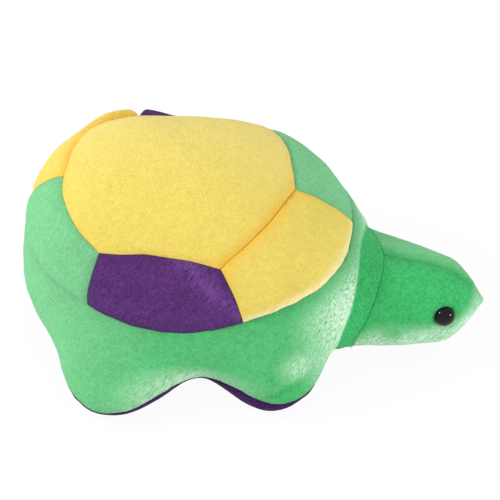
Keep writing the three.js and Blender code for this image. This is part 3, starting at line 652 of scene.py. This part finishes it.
# Painted light on the shell panels: green ones lightened, a painted highlight streak over the purple folds
GREEN_PANEL_LIGHT, PURPLE_TIPS_AND_SHEEN, STREAK_SHEEN, STREAK_WIDTH = 0.25, 0.25, 0.35, 6 * MM
RIM_SHEEN, RIM_SHARES, RIM_FADE = 0.7, (0.82, 0.98), 30 * MM
STREAK_X, STREAK_Z, STREAK_SLANT = 12 * MM, 65 * MM, 1.3


def shell_tips_and_light(base, slot, down):
    """Pale nap tips and painted light on the shell: green panels lightened all over, yellow ones given a painted
    sheen highlight along the front of the rim, purple ones a painted highlight streak over pale tips all over
    """
    if slot == "green_fleece":
        return np.full(len(base), GREEN_PANEL_LIGHT)
    if slot == "yellow_fleece":
        return RIM_SHEEN * smooth_step(down, *RIM_SHARES) * smooth_step(base[:, 0], 0, RIM_FADE)
    across = (base[:, 0] - STREAK_X) + (base[:, 2] - STREAK_Z) * STREAK_SLANT
    return STREAK_SHEEN * bell(across, STREAK_WIDTH) + PURPLE_TIPS_AND_SHEEN


# Painted sheen highlight under the head, painted light on its far side
CHIN_SHEEN, CHIN_SHEEN_TOP, CHIN_SHEEN_RISE, CHIN_SHEEN_RISE_X = 0.82, 31 * MM, 5 * MM, (110 * MM, 121 * MM)
CHIN_SHEEN_FADE, CHIN_SHEEN_WAVER, CHIN_SHEEN_WAVER_SIZE = (-1 * MM, 16 * MM), 3 * MM, 8 * MM
FAR_LIGHT, FAR_LIGHT_Y, FAR_LIGHT_Z = 0.22, (-1 * MM, 8 * MM), (28 * MM, 36 * MM)


def head_sheen_and_light(base):
    """On the head: a painted sheen highlight below, from the neck to the nose, and painted light on the far side of
    the top
    """
    low = CHIN_SHEEN_TOP + CHIN_SHEEN_RISE * smooth_step(base[:, 0], *CHIN_SHEEN_RISE_X) - base[:, 2]
    low = low + CHIN_SHEEN_WAVER * soft_noise(base, CHIN_SHEEN_WAVER_SIZE, 12)
    far = smooth_step(base[:, 1], *FAR_LIGHT_Y) * smooth_step(base[:, 2], *FAR_LIGHT_Z)
    return np.maximum(CHIN_SHEEN * smooth_step(low, *CHIN_SHEEN_FADE), FAR_LIGHT * far)


# Dents and bumps of this one toy, as (place in mm, radii in mm, height in mm)

CENTRE_LUMPS = [((-28, 33, 83), (14, 10, 10), -2.6), ((-42, 27, 84), (12, 8, 8), -1.4)]
RING_LUMPS = [((-32, 42, 72), (13, 10, 10), 4.0), ((-45, 34, 75), (12, 9, 9), 2.4)]
SEAM_PUCKER = ((27, -17, 79), (5, 5, 5), -1.0)
FOOT_LUMPS = [((48, 52, 24), (9, 9, 4), 0.8)]
FOOT_CREASE = [
    (38, 59.5, 14), (41, 58.1, 15.4), (45.2, 55.7, 17.2), (49, 52.6, 18.3), (52.7, 49, 18.7), (56, 44.9, 17.7)]
CREASE_DEPTH, CREASE_WIDTH, LUMP_EDGE = 1.5 * MM, 1.9 * MM, 1.8 * MM


def crease(base):
    """A soft crease across the front feet, where the top of the foot sags over its tip"""
    line = np.array(FOOT_CREASE) * MM
    run = np.linspace(0, len(line) - 1, 60)
    places = np.stack([np.interp(run, np.arange(len(line)), line[:, i]) for i in range(3)], axis=-1)
    return -CREASE_DEPTH * bell(gap_to(base, places), CREASE_WIDTH)


def lumps(base, parts):
    return sum(blob(base, place, radii) * height * MM for place, radii, height in parts)


def panel_lumps(base, gap, parts):
    """Lumps that end at a panel's seams, and the pucker that crosses one"""
    return lumps(base, parts) * (1 - np.exp(-gap / LUMP_EDGE)) + lumps(base, [SEAM_PUCKER])


def cut_opening(mesh, inside):
    bm = bmesh_of(mesh)
    bm.verts.ensure_lookup_table()
    bmesh.ops.delete(bm, geom=[bm.verts[i] for i in np.flatnonzero(inside)], context="VERTS")
    bm.to_mesh(mesh)
    bm.free()


# Materials

SLOTS = ("yellow_fleece", "green_fleece", "purple_fleece", "fibre", "eye_plastic", "washer_plastic")


def socket_maths(operation, other_first=False):
    """Method that adds a Math node to a wire and another wire or number"""
    def method(wire, other):
        first, second = (other, wire) if other_first else (wire, other)
        return wire.finish.node("ShaderNodeMath", {"operation": operation}, {0: first, 1: second})
    return method


class Wire:
    """A material socket that takes part in Python sums"""

    def __init__(self, finish, socket):
        self.finish, self.socket = finish, socket

    __add__, __radd__ = socket_maths("ADD"), socket_maths("ADD", True)
    __sub__, __rsub__ = socket_maths("SUBTRACT"), socket_maths("SUBTRACT", True)
    __mul__, __rmul__ = socket_maths("MULTIPLY"), socket_maths("MULTIPLY", True)

    def clamped(self):
        return self.finish.node("ShaderNodeClamp", {}, {0: self})


class Finish:
    """A material with one way to make its nodes"""

    def __init__(self, name):
        self.material = bpy.data.materials.new(f"{name}_finish")
        self.material.use_nodes = True
        self.nodes = self.material.node_tree.nodes
        self.links = self.material.node_tree.links
        self.nodes.clear()
        self.place = self.node("ShaderNodeTexCoord", {}, {}, "Object")

    def node(self, kind, settings, inputs, output=0):
        made = self.nodes.new(kind)
        for key, value in settings.items():
            if key == "stops":
                self.set_stops(made.color_ramp, value)
            else:
                setattr(made, key, value)
        for key, value in inputs.items():
            if isinstance(value, Wire):
                self.links.new(value.socket, made.inputs[key])
            else:
                made.inputs[key].default_value = value
        return Wire(self, made.outputs[output])

    @staticmethod
    def set_stops(ramp, values):
        while len(ramp.elements) < len(values):
            ramp.elements.new(0.5)
        for element, (position, value) in zip(ramp.elements, values):
            element.position = position
            element.color = (value, value, value, 1)

    def noise(self, size, detail=2, roughness=0.55, place=None):
        """Noise whose grains are about size metres apart"""
        inputs = {"Vector": place or self.place, "Scale": 1 / size, "Detail": detail, "Roughness": roughness}
        return self.node("ShaderNodeTexNoise", {}, inputs, "Fac")

    def ramp(self, value, *stops_of_ramp):
        return self.node("ShaderNodeValToRGB", {"stops": stops_of_ramp}, {0: value})

    def mix(self, share, first, second):
        """Mix of two colours, each three numbers or a wire"""
        first, second = ((*c, 1) if not isinstance(c, Wire) else c for c in (first, second))
        return self.node("ShaderNodeMix", {"data_type": "RGBA"}, {0: share, 6: first, 7: second}, 2)

    def attribute(self, name):
        return self.node("ShaderNodeAttribute", {"attribute_name": name}, {}, "Fac")

    def bump(self, height, distance):
        return self.node("ShaderNodeBump", {}, {"Height": height, "Distance": distance, "Strength": 1.0})

    def shader(self, **inputs):
        named = {key.replace("_", " "): value for key, value in inputs.items()}
        self.show(self.node("ShaderNodeBsdfPrincipled", {}, named))

    def show(self, surface):
        output = self.nodes.new("ShaderNodeOutputMaterial")
        self.links.new(surface.socket, output.inputs["Surface"])


def fleece(name, light, deep, seam_shade_colour, frost, seam_shade_share, sheen, sheen_tint):
    """Short napped fleece: tufts, brushed streaks, painted shade beside the seams (painted bounce light in yellow
    ones), and pale nap tips mixed with a painted sheen highlight
    """
    made = Finish(name)
    tufts = made.noise(0.75 * MM, 2, 0.65)
    clumps = made.noise(2.6 * MM, 2, 0.6)
    patches = made.noise(16 * MM, 2, 0.5)
    brushed = made.node(
        "ShaderNodeMapping", {"vector_type": "TEXTURE"},
        {"Vector": made.place, "Rotation": (0, math.radians(-48), math.radians(30)), "Scale": (4.5, 1, 1)})
    streaks = made.noise(0.8 * MM, 2, 0.6, brushed)
    pile = made.ramp(tufts * 0.55 + clumps * 0.25 + streaks * 0.2, (0.41, 0), (0.60, 1))
    colour = made.mix((pile * 0.75 + patches * 0.4 - 0.05).clamped(), tuple(deep), tuple(light))
    # Painted shade beside the seams, orange painted bounce light in the yellow fleece
    seam = (made.attribute("seam") * (made.noise(5 * MM) * 0.8 + 0.6)).clamped()
    colour = made.mix(seam * seam_shade_share, colour, tuple(seam_shade_colour))
    # Pale nap tips mixed with a painted sheen highlight and painted light
    tips_and_sheen_share = made.attribute("frost")
    uneven = made.ramp(tips_and_sheen_share, (0.22, 0), (0.75, 1)) * 3.2
    tips = tips_and_sheen_share * 0.9 + uneven * (streaks * 0.75 + tufts * 0.25 - 0.5)
    colour = made.mix(tips.clamped(), colour, tuple(frost))
    height = tufts + made.noise(0.4 * MM, 1, 0.5) * 0.5 + clumps * 0.9 + streaks * 0.5
    made.shader(
        Base_Color=colour, Roughness=0.92, Normal=made.bump(height, 0.5 * MM), Sheen_Weight=sheen,
        Sheen_Roughness=0.5, Sheen_Tint=(*sheen_tint, 1), Specular_IOR_Level=0.12)


def finishes():
    """The toy's materials by slot, made once"""
    if "fibre_finish" in bpy.data.materials:
        return {slot: bpy.data.materials[f"{slot}_finish"] for slot in SLOTS}
    c = colours()
    # Each fleece: its painted seam shade or bounce colour, and its colour for pale nap tips and painted sheen
    # highlight
    fleece("yellow_fleece", c.yellow, c.yellow_deep, c.yellow_seam_bounce, (0.95, 0.88, 0.55), 0.9, 0.08, (1, 0.93, 0.7))
    fleece("green_fleece", c.green, c.green_deep, c.green_seam_shade, c.frost, 0.45, 0.10, (0.8, 1, 0.85))
    fleece("purple_fleece", c.purple, c.purple_deep, c.purple_seam_shade, (0.19, 0.075, 0.31), 0.5, 0.02, (0.75, 0.6, 0.95))

    fibre = Finish("fibre")
    strands = fibre.noise(1.2 * MM, 4, 0.7)
    tone = fibre.mix(strands, tuple(v * 0.8 for v in c.fibre), tuple(c.fibre))
    fibre.shader(Base_Color=tone, Roughness=0.95, Normal=fibre.bump(strands, 0.8 * MM), Sheen_Weight=0.3)

    eye = Finish("eye_plastic")
    wear = eye.ramp(eye.noise(2.5 * MM, 2, 0.6), (0.45, 0.02), (0.75, 0.06))
    eye.shader(Base_Color=(*c.eye, 1), Roughness=wear, Specular_IOR_Level=0.2)

    washer = Finish("washer_plastic")
    grain = washer.noise(0.6 * MM, 2, 0.5)
    tone = washer.mix(grain, tuple(v * 0.92 for v in c.washer), tuple(c.washer))
    washer.shader(Base_Color=tone, Roughness=0.5, Normal=washer.bump(grain, 0.05 * MM))
    return finishes()


# Panels of the body


def disc_grid(name, rings):
    """Square grid bent to a disc: bearing, share of the way out and turned-in depth"""
    mesh, column, row = grid_mesh(name, 2 * rings, 2 * rings)
    x, y = column - rings, row - rings
    ring = np.maximum(np.abs(x), np.abs(y))
    safe = np.maximum(ring, 1)
    flat = np.abs(x) >= np.abs(y)
    bearing = np.where(
        flat,
        np.where(x >= 0, 0, np.pi) + np.where(x >= 0, 1, -1) * np.pi / 4 * y / safe,
        np.where(y >= 0, 1, -1) * (np.pi / 2 - np.pi / 4 * x / safe),
    )
    share, depth = stops(rings, start_sewn=False)
    return mesh, bearing, share[ring], depth[ring]


def hexagon_share(bearing):
    """How far out on the disc the centre panel's edge lies, by bearing"""
    edge = edge_line(range(6), 60, endpoint=False)
    angle = np.arctan2(edge[:, 1], edge[:, 0])
    order = np.argsort(angle)
    return np.interp(bearing, angle[order], np.hypot(*edge.T)[order], period=2 * np.pi)


# Painted bounce light in yellow seams, weaker away from yellow-to-yellow seams
PLAIN_SEAM_SHADE, YELLOW_BOUNCE_WIDTH = 0.3, 7 * MM
# Painted light: the centre panel is paler towards the turtle's left
CENTRE_LIGHT, CENTRE_LIGHT_Y = 0.2, (-30 * MM, 35 * MM)


def yellow_bounce_share(base, edges):
    """Painted bounce light: the seam colour is strongest beside the seams that join yellow to more yellow"""
    near = gap_to(base, disc_point(*edge_line(edges, 200).T))
    return PLAIN_SEAM_SHADE + (1 - PLAIN_SEAM_SHADE) * bell(near, YELLOW_BOUNCE_WIDTH)


def build_centre_panel():
    mesh, bearing, share, depth = disc_grid("shell_centre", CENTRE_RINGS)
    reach = hexagon_share(bearing) * share
    x, y = reach * np.cos(bearing), reach * np.sin(bearing)
    base = disc_point(x, y)
    gap = gap_to(base, disc_point(*edge_line(range(6), 400).T))
    sewn_piece(
        "shell_centre", mesh, base, outward(disc_point, x, y), depth, gap, "yellow_fleece", "shell_centre_panel",
        frost=CENTRE_LIGHT * smooth_step(base[:, 1], *CENTRE_LIGHT_Y), more_lift=panel_lumps(base, gap, CENTRE_LUMPS),
        tint=yellow_bounce_share(base, (0, 3)))


RING_PANELS = [
    ("shell_front_right", "yellow_fleece"), ("shell_right", "purple_fleece"), ("shell_rear_right", "green_fleece"),
    ("shell_rear_left", "yellow_fleece"), ("shell_left", "purple_fleece"), ("shell_front_left", "green_fleece"),
]


def ring_disc(k, u, v):
    """Place on the disc of ring panel k: u along its seams, v from the centre panel to the rim"""
    bearing = SEAM_ENDS[k] + (SEAM_ENDS[k + 1] - SEAM_ENDS[k]) * u
    rim = np.stack([np.cos(bearing), np.sin(bearing)], axis=-1)
    inner = centre_edge(k, u)
    return inner + (rim - inner) * v[..., None]


def build_ring_panel(k):
    name, slot = RING_PANELS[k]
    mesh, across, across_depth, down, down_depth = sewn_grid(name, RING_GRID)
    place = ring_disc(k, across, down).T
    run, zero, one = np.linspace(0, 1, 600), np.zeros(600), np.ones(600)
    sides = [ring_disc(k, run, zero), ring_disc(k, run, one), ring_disc(k, zero, run), ring_disc(k, one, run)]
    edge = np.concatenate(sides)
    base = disc_point(*place)
    gap = gap_to(base, disc_point(*edge.T))
    sewn_piece(
        name, mesh, base, outward(disc_point, *place), np.maximum(across_depth, down_depth), gap, slot,
        f"{name}_panel", frost=shell_tips_and_light(base, slot, down), more_lift=panel_lumps(base, gap, RING_LUMPS),
        tint=yellow_bounce_share(base, [k]) if slot == "yellow_fleece" else 1.0)


def head_tree():
    """The head's plain surface, to measure from"""
    columns, rows = PLAIN_HEAD_GRID
    mesh, column, row = grid_mesh("head_plain", columns, rows)
    x = NECK_START_X - PLAIN_HEAD_LEAD + (NOSE_X - NECK_START_X + PLAIN_HEAD_LEAD) * column / columns
    write_points(mesh, head_point(x, 2 * np.pi * row / rows))
    finish_mesh(mesh, Vector((NECK_X, 0, NECK_Z)))
    bm = bmesh_of(mesh)
    tree = BVHTree.FromBMesh(bm)
    bm.free()
    bpy.data.meshes.remove(mesh)
    return tree


def neck_fold(base, out, depth, gap, is_green):
    """Lays the fleece that meets the head forward along the neck, up to the neck seam"""
    from_head = signed_gap(base, head_tree())
    from_head[base[:, 0] < NECK_START_X] = SHELL_SIDE
    angle = head_angle(base)
    inside = np.clip(-from_head, 0, None)
    start = base[:, 0]
    seam_x = np.maximum(neck_seam_place(angle), start + 0.5 * MM)
    x = start + (seam_x - start) * np.clip(inside / (COLLAR_DEPTH - COLLAR_EDGE), 0, 1)
    on_neck = (from_head < 0)[:, None]
    neck_out = head_out(x, angle)
    share = smooth_step(from_head, -COLLAR_BLEND, COLLAR_BLEND)[:, None]
    run = np.where(from_head > 0, from_head, x - start)
    # Pale nap tips and painted light on the green band
    frost = band_tips_and_light(base, smooth_step(from_head, 0, COLLAR_TUCK)) if is_green else 0.0
    to_seam = np.where(from_head > 0, from_head + seam_x - start, seam_x - x)
    return {
        "base": np.where(on_neck, head_point(x, angle), base),
        "out": unit(neck_out + (out - neck_out) * share),
        "depth": np.maximum(depth, np.clip((inside - COLLAR_DEPTH) / COLLAR_TUCK, 0, 1)),
        "gap": np.minimum(gap, to_seam + NECK_SEAM_EASE),
        "more_lift": COLLAR_ROLL * bell(run, COLLAR_ROLL_WIDTH) * smooth_step(to_seam, 0, COLLAR_ROLL_FADE),
        "opening": inside > COLLAR_DEPTH + COLLAR_BLEND,
        "frost": frost,
    }


BAND_TURN, SEAM_TURN = 6 * MM, 5 * MM


def turned_to(out, other, gap, width):
    """Outward directions that turn to a neighbour's where the seam with it is near"""
    return unit(out + (other - out) * (1 - smooth_step(gap, 0, width))[:, None])


def build_band():
    mesh, around, around_depth, share, down_depth = sewn_grid(
        "band", BAND_GRID, {"crowding": 0, "edge": REAR_EDGE_SHARE})
    bearing = REAR_SEAM - 2 * np.pi * around
    base = band_point(bearing, share)
    loop = REAR_SEAM - 2 * np.pi * np.linspace(0, 1, 4000)
    zero = np.zeros_like(loop)
    rim_gap = gap_to(base, band_point(loop, zero))
    belly_gap = gap_to(base, band_point(loop, zero + 1))
    rear_gap = gap_to(base, band_point(REAR_SEAM + np.zeros(400), np.linspace(0, 1, 400)))
    gap = np.minimum(np.minimum(rim_gap, belly_gap), rear_gap)
    own = outward(band_point, bearing, np.clip(share, 0.01, 1))
    out = turned_to(own, belly_seam_out(bearing), belly_gap, BAND_TURN)
    out = turned_to(out, outward(shell_point, bearing, np.ones_like(bearing)), rim_gap, SEAM_TURN)
    neck = neck_fold(base, out, np.maximum(around_depth, down_depth), gap, True)
    side = right_side(base)
    neck["more_lift"] = neck["more_lift"] + lumps(side, FOOT_LUMPS) + crease(side)
    sewn_piece("band", mesh, slot="green_fleece", node="band_panel", bends=True, **neck)


def build_belly():
    mesh, bearing, inward, depth = disc_grid("belly", BELLY_RINGS)
    share = 1 - inward
    base = belly_point(bearing, share)
    loop = np.linspace(-np.pi, np.pi, 4000)
    gap = gap_to(base, belly_point(loop, np.zeros_like(loop)))
    own = outward(belly_point, bearing, np.clip(share, 1e-3, 1))
    flat = smooth_step(share, BELLY_CORNER * 0.9, BELLY_CORNER)[:, None]
    own = unit(own + (np.array([0, 0, -1.0]) - own) * flat)
    out = turned_to(own, belly_seam_out(bearing), gap, SEAM_TURN)
    neck = neck_fold(base, out, depth, gap, False)
    sewn_piece(
        "belly", mesh, slot="purple_fleece", node="belly_panel", depth_share=0.5, crown_share=0, bends=True, **neck)


# Head


# Dent that the button presses into the fleece, and the swelling round it
EYE_PRESS, EYE_DENT_RADIUS = 0.6 * MM, 5.2 * MM
EYE_SWELL, EYE_SWELL_RADIUS, EYE_SWELL_WIDTH = 0.35 * MM, 7.2 * MM, 2.2 * MM
NOSE_CROWDING, HEAD_CROWDING, HEAD_FLAP, TIP_WIDTH = 1.6, 0.4, 0.6, 5 * MM
HEAD_MIDDLE = Vector((NECK_X + 20 * MM, 0, NECK_Z))


def build_head_panels():
    eyes = [eye_place(side).translation for side in (-1, 1)]
    loop = np.linspace(0, 2 * np.pi, 1200)
    along = np.linspace(NECK_START_X, NOSE_X, 900)
    neck_line = head_point(neck_seam_place(loop), loop)
    turns = (midline_angle(along), -chin_angle(along), np.pi + chin_angle(along))
    seams = np.concatenate([head_point(along, turn) for turn in turns])
    for name, side in (("head_right", -1), ("head_left", 1), ("chin", 0)):
        mesh, run, run_depth, across, across_depth = sewn_grid(
            name, HEAD_GRID if side else CHIN_GRID, {"end_sewn": False, "crowding": 0}, {"crowding": HEAD_CROWDING})
        end = NOSE_X if side else NECK_X + CHIN_REACH
        x = np.full(len(run), NECK_X)
        for _ in range(3):
            low = -chin_angle(x)
            first = midline_angle(x) if side else low
            last = low if side > 0 else np.where(side < 0, np.pi - low, -np.pi - low)
            angle = first + (last - first) * across
            start = neck_seam_place(angle)
            x = start + (end - start) * (1 - (1 - run) ** (NOSE_CROWDING if side else 1))
        base, out = head_point(x, angle), head_out(x, angle)
        more_lift = 0.0
        for seat in eyes:
            from_eye = np.linalg.norm(base - np.array(seat), axis=1)
            more_lift = more_lift - (EYE_SINK + EYE_PRESS) * np.exp(-((from_eye / EYE_DENT_RADIUS) ** 4))
            more_lift = more_lift + EYE_SWELL * bell(from_eye, EYE_SWELL_WIDTH, EYE_SWELL_RADIUS)
        width, _, _ = head_section(x, np.full(len(x), True))
        gap = np.minimum(gap_to(base, seams), gap_to(base, neck_line) + NECK_SEAM_EASE)
        sewn_piece(
            name, mesh, base, out, np.maximum(across_depth * HEAD_FLAP, run_depth), gap,
            "green_fleece" if side else "purple_fleece", f"{name}_panel", depth_share=0.7, crown_share=0.6,
            middle=HEAD_MIDDLE, more_lift=more_lift, bends=True, frost=head_sheen_and_light(base),
            shrink=smooth_step(width, 0, TIP_WIDTH))


# Eyes and their washers


def turned_piece(name, profile, place, slot, node):
    """A profile turned about an eye's axis"""
    bm = bmesh.new()
    verts = [bm.verts.new((radius, 0, height)) for radius, height in profile]
    edges = [bm.edges.new(pair) for pair in zip(verts, verts[1:])]
    bmesh.ops.spin(
        bm, geom=verts + edges, angle=2 * math.pi, steps=TURN_STEPS, axis=(0, 0, 1), cent=(0, 0, 0), use_merge=True)
    bmesh.ops.remove_doubles(bm, verts=bm.verts, dist=MERGE_FINE)
    bmesh.ops.recalc_face_normals(bm, faces=bm.faces)
    bmesh.ops.transform(bm, matrix=place, verts=bm.verts)
    for face in bm.faces:
        face.smooth = True
    mesh = mesh_of(bm, name)
    mesh.set_sharp_from_angle(angle=SHARP_ANGLE)
    new_piece(name, mesh, slot, node, "head")


def eye_profile():
    """Half section of the button from the top of the dome to the end of the shank"""
    radius, dome, rim, step = 4.5 * MM, 4.2 * MM, 0.8 * MM, 0.45 * MM
    shank, neck, end = 1.5 * MM, 1.2 * MM, -9.5 * MM
    turn = np.linspace(0, np.pi / 2, 26)
    points = [(radius * math.sin(t), rim + (dome - rim) * math.cos(t)) for t in turn]
    points[0] = (0, dome)
    points += [(radius, step), (radius - 0.12 * MM, 0.14 * MM), (radius - step, 0), (2.1 * MM, 0)]
    points += [(shank, -0.5 * MM)]
    for groove in range(3):
        depth = -(2.4 + 2.2 * groove) * MM
        points += [(shank, depth + 0.9 * MM), (neck, depth + 0.6 * MM), (neck, depth + 0.2 * MM), (shank, depth)]
    return points + [(shank, -9.1 * MM), (neck, end), (0, end)]


def washer_profile():
    hole, rim, collar = 1.8 * MM, 5.5 * MM, 2.7 * MM
    top, base, foot, step = -4.3 * MM, -5.5 * MM, -7.1 * MM, 0.2 * MM
    return [
        (hole, top - step), (hole, foot + 0.1 * MM), (hole + 0.1 * MM, foot), (collar - 0.15 * MM, foot),
        (collar, foot + 0.15 * MM), (collar, base), (rim - step, base), (rim, base + step),
        (rim, top - step), (rim - step, top), (hole + step, top), (hole, top - step),
    ]


# Filling


WAD_GRID, WAD_SINK = 1.6 * MM, 0.8
WAD_LUMPS = ((0.35, 6 * MM, 9), (0.25, 2.6 * MM, 10))


def fibre_wad(name, node, body):
    """Loose fibre in the place of a solid of the frame, a little uneven"""
    bm = bmesh_of(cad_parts[node].data)
    bmesh.ops.remove_doubles(bm, verts=bm.verts, dist=MERGE_FINE)
    mesh = mesh_of(bm, name)
    piece = new_piece(name, mesh, "fibre", node, body)
    grid = piece.modifiers.new("grid", "REMESH")
    grid.mode, grid.voxel_size = "VOXEL", WAD_GRID
    piece.data = bpy.data.meshes.new_from_object(piece.evaluated_get(bpy.context.evaluated_depsgraph_get()))
    piece.modifiers.clear()
    bpy.data.meshes.remove(mesh)
    mesh = piece.data
    mesh.name = name
    points = read_points(mesh)
    normals = np.empty(len(points) * 3, np.float32)
    mesh.vertices.foreach_get("normal", normals)
    uneven = sum(height * soft_noise(points, size, seed) for height, size, seed in WAD_LUMPS) - WAD_SINK
    write_points(mesh, points + normals.reshape(-1, 3) * (uneven * MM)[:, None])
    mesh.polygons.foreach_set("use_smooth", [True] * len(mesh.polygons))


# Stage


LAMP_TARGET, CAMERA_TARGET = (0.015, 0, 0.04), Vector((0.0213, 0, 0.0407))
LAMPS = (
    ("key", (-0.66, -0.18, 0.70), 0.18, 4.9, (1, 0.99, 0.97)),
    ("front", (0.90, -0.25, 0.22), 0.16, 2.7, (1, 1, 1)),
)
FLOOR_SIZE, FLOOR_GAP, FLOOR_WHITE, FLOOR_TONE = 3, 0.05 * MM, 0.95, (0.9, 0.9, 0.9, 1)


def aim(obj, place, target):
    obj.location = place
    obj.rotation_mode = "QUATERNION"
    obj.rotation_quaternion = (Vector(target) - Vector(place)).to_track_quat("-Z", "Y")


def add_lamp(name, place, size, power, colour):
    lamp = bpy.data.lights.new(name, "AREA")
    lamp.shape, lamp.size, lamp.energy, lamp.color = "DISK", size, power, colour
    holder = bpy.data.objects.new(name, lamp)
    bpy.context.scene.collection.objects.link(holder)
    aim(holder, place, LAMP_TARGET)


def build_stage():
    scene, view = bpy.context.scene, bpy.context.scene.turtle_view
    floor = Finish("floor")
    rays = floor.node("ShaderNodeLightPath", {}, {}, "Is Camera Ray")
    others = [Wire(floor, rays.socket.node.outputs[name]) for name in ("Is Glossy Ray", "Is Transmission Ray")]
    seen = (rays + others[0] + others[1]).clamped()
    plain = floor.node("ShaderNodeBsdfDiffuse", {}, {"Color": FLOOR_TONE})
    white = floor.node("ShaderNodeEmission", {}, {"Color": (1, 1, 1, 1), "Strength": 1.0})
    floor.show(floor.node("ShaderNodeMixShader", {}, {0: seen * FLOOR_WHITE, 1: plain, 2: white}))

    bm = bmesh.new()
    bmesh.ops.create_grid(bm, x_segments=1, y_segments=1, size=FLOOR_SIZE)
    mesh = mesh_of(bm, "floor")
    mesh.materials.append(floor.material)
    ground = bpy.data.objects.new("floor", mesh)
    ground.location.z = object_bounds()[0].z - FLOOR_GAP
    scene.collection.objects.link(ground)
    ground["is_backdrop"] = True

    world = bpy.data.worlds.new("studio")
    world.use_nodes = True
    sky = world.node_tree.nodes["Background"].inputs
    sky["Color"].default_value, sky["Strength"].default_value = (1, 1, 1, 1), view.sky
    scene.world = world

    for lamp in LAMPS:
        add_lamp(*lamp)

    camera = bpy.data.cameras.new("camera")
    camera.lens, camera.sensor_width = view.lens, 36
    camera.clip_start, camera.clip_end = 0.05, 20
    holder = bpy.data.objects.new("camera", camera)
    scene.collection.objects.link(holder)
    a, e = view.azimuth, view.elevation
    back = Vector((math.sin(a) * math.cos(e), -math.cos(a) * math.cos(e), math.sin(e)))
    aim(holder, CAMERA_TARGET + back * view.distance, CAMERA_TARGET)
    scene.camera = holder
    scene.view_settings.view_transform = "Standard"


# Operators


class TURTLE_OT_shell(bpy.types.Operator):
    """Sew the centre panel and the six ring panels of the shell"""

    bl_idname = "turtle.shell"
    bl_label = "Shell"

    def execute(self, context):
        build_centre_panel()
        for k in range(len(RING_PANELS)):
            build_ring_panel(k)
        return {"FINISHED"}


class TURTLE_OT_band(bpy.types.Operator):
    """Sew the green band that runs down into the four feet"""

    bl_idname = "turtle.band"
    bl_label = "Band and feet"

    def execute(self, context):
        build_band()
        return {"FINISHED"}


class TURTLE_OT_belly(bpy.types.Operator):
    """Sew the belly panel"""

    bl_idname = "turtle.belly"
    bl_label = "Belly"

    def execute(self, context):
        build_belly()
        return {"FINISHED"}


class TURTLE_OT_head(bpy.types.Operator):
    """Sew the two sides of the head and the chin panel"""

    bl_idname = "turtle.head"
    bl_label = "Head"

    def execute(self, context):
        build_head_panels()
        return {"FINISHED"}


class TURTLE_OT_eyes(bpy.types.Operator):
    """Turn the two button eyes and their lock washers"""

    bl_idname = "turtle.eyes"
    bl_label = "Eyes and washers"

    def execute(self, context):
        for name, side in (("right", -1), ("left", 1)):
            place = eye_place(side)
            turned_piece(f"eye_button_{name}", eye_profile(), place, "eye_plastic", f"eye_{name}")
            turned_piece(f"eye_lock_{name}", washer_profile(), place, "washer_plastic", f"eye_washer_{name}")
        return {"FINISHED"}


class TURTLE_OT_filling(bpy.types.Operator):
    """Stuff the body, the feet and the head with fibre"""

    bl_idname = "turtle.filling"
    bl_label = "Filling"

    def execute(self, context):
        fibre_wad("body_fibre", "body_stuffing", "body")
        for foot in ("front_right", "front_left", "rear_right", "rear_left"):
            fibre_wad(f"{foot}_foot_fibre", f"{foot}_foot_stuffing", "body")
        fibre_wad("head_fibre", "head_stuffing", "head")
        return {"FINISHED"}


class TURTLE_OT_stage(bpy.types.Operator):
    """Set the floor, the lamps and the camera"""

    bl_idname = "turtle.stage"
    bl_label = "Stage"

    def execute(self, context):
        build_stage()
        return {"FINISHED"}


OPERATORS = (
    TURTLE_OT_shell, TURTLE_OT_band, TURTLE_OT_belly, TURTLE_OT_head, TURTLE_OT_eyes, TURTLE_OT_filling,
    TURTLE_OT_stage,
)


class TURTLE_PT_panel(bpy.types.Panel):
    """Lists the toy's sizes, colours and pieces"""

    bl_idname = "TURTLE_PT_panel"
    bl_label = "Sewn turtle"
    bl_space_type = "VIEW_3D"
    bl_region_type = "UI"
    bl_category = "Turtle"

    def draw(self, context):
        layout = self.layout
        for group in (context.scene.turtle_sewing, context.scene.turtle_colours, context.scene.turtle_view):
            box = layout.box()
            for name in group.__annotations__:
                box.prop(group, name)
        for operator in OPERATORS:
            layout.operator(operator.bl_idname)


CLASSES = (TurtleSewing, TurtleColours, TurtleView, *OPERATORS, TURTLE_PT_panel)


def register():
    for each in CLASSES:
        bpy.utils.register_class(each)
    bpy.types.Scene.turtle_sewing = PointerProperty(type=TurtleSewing)
    bpy.types.Scene.turtle_colours = PointerProperty(type=TurtleColours)
    bpy.types.Scene.turtle_view = PointerProperty(type=TurtleView)


def unregister():
    del bpy.types.Scene.turtle_view
    del bpy.types.Scene.turtle_colours
    del bpy.types.Scene.turtle_sewing
    for each in reversed(CLASSES):
        bpy.utils.unregister_class(each)


def main():
    register()
    bpy.ops.turtle.shell()
    bpy.ops.turtle.band()
    bpy.ops.turtle.belly()
    bpy.ops.turtle.head()
    bpy.ops.turtle.eyes()
    bpy.ops.turtle.filling()
    bpy.ops.turtle.stage()


if __name__ == "__main__":
    main()
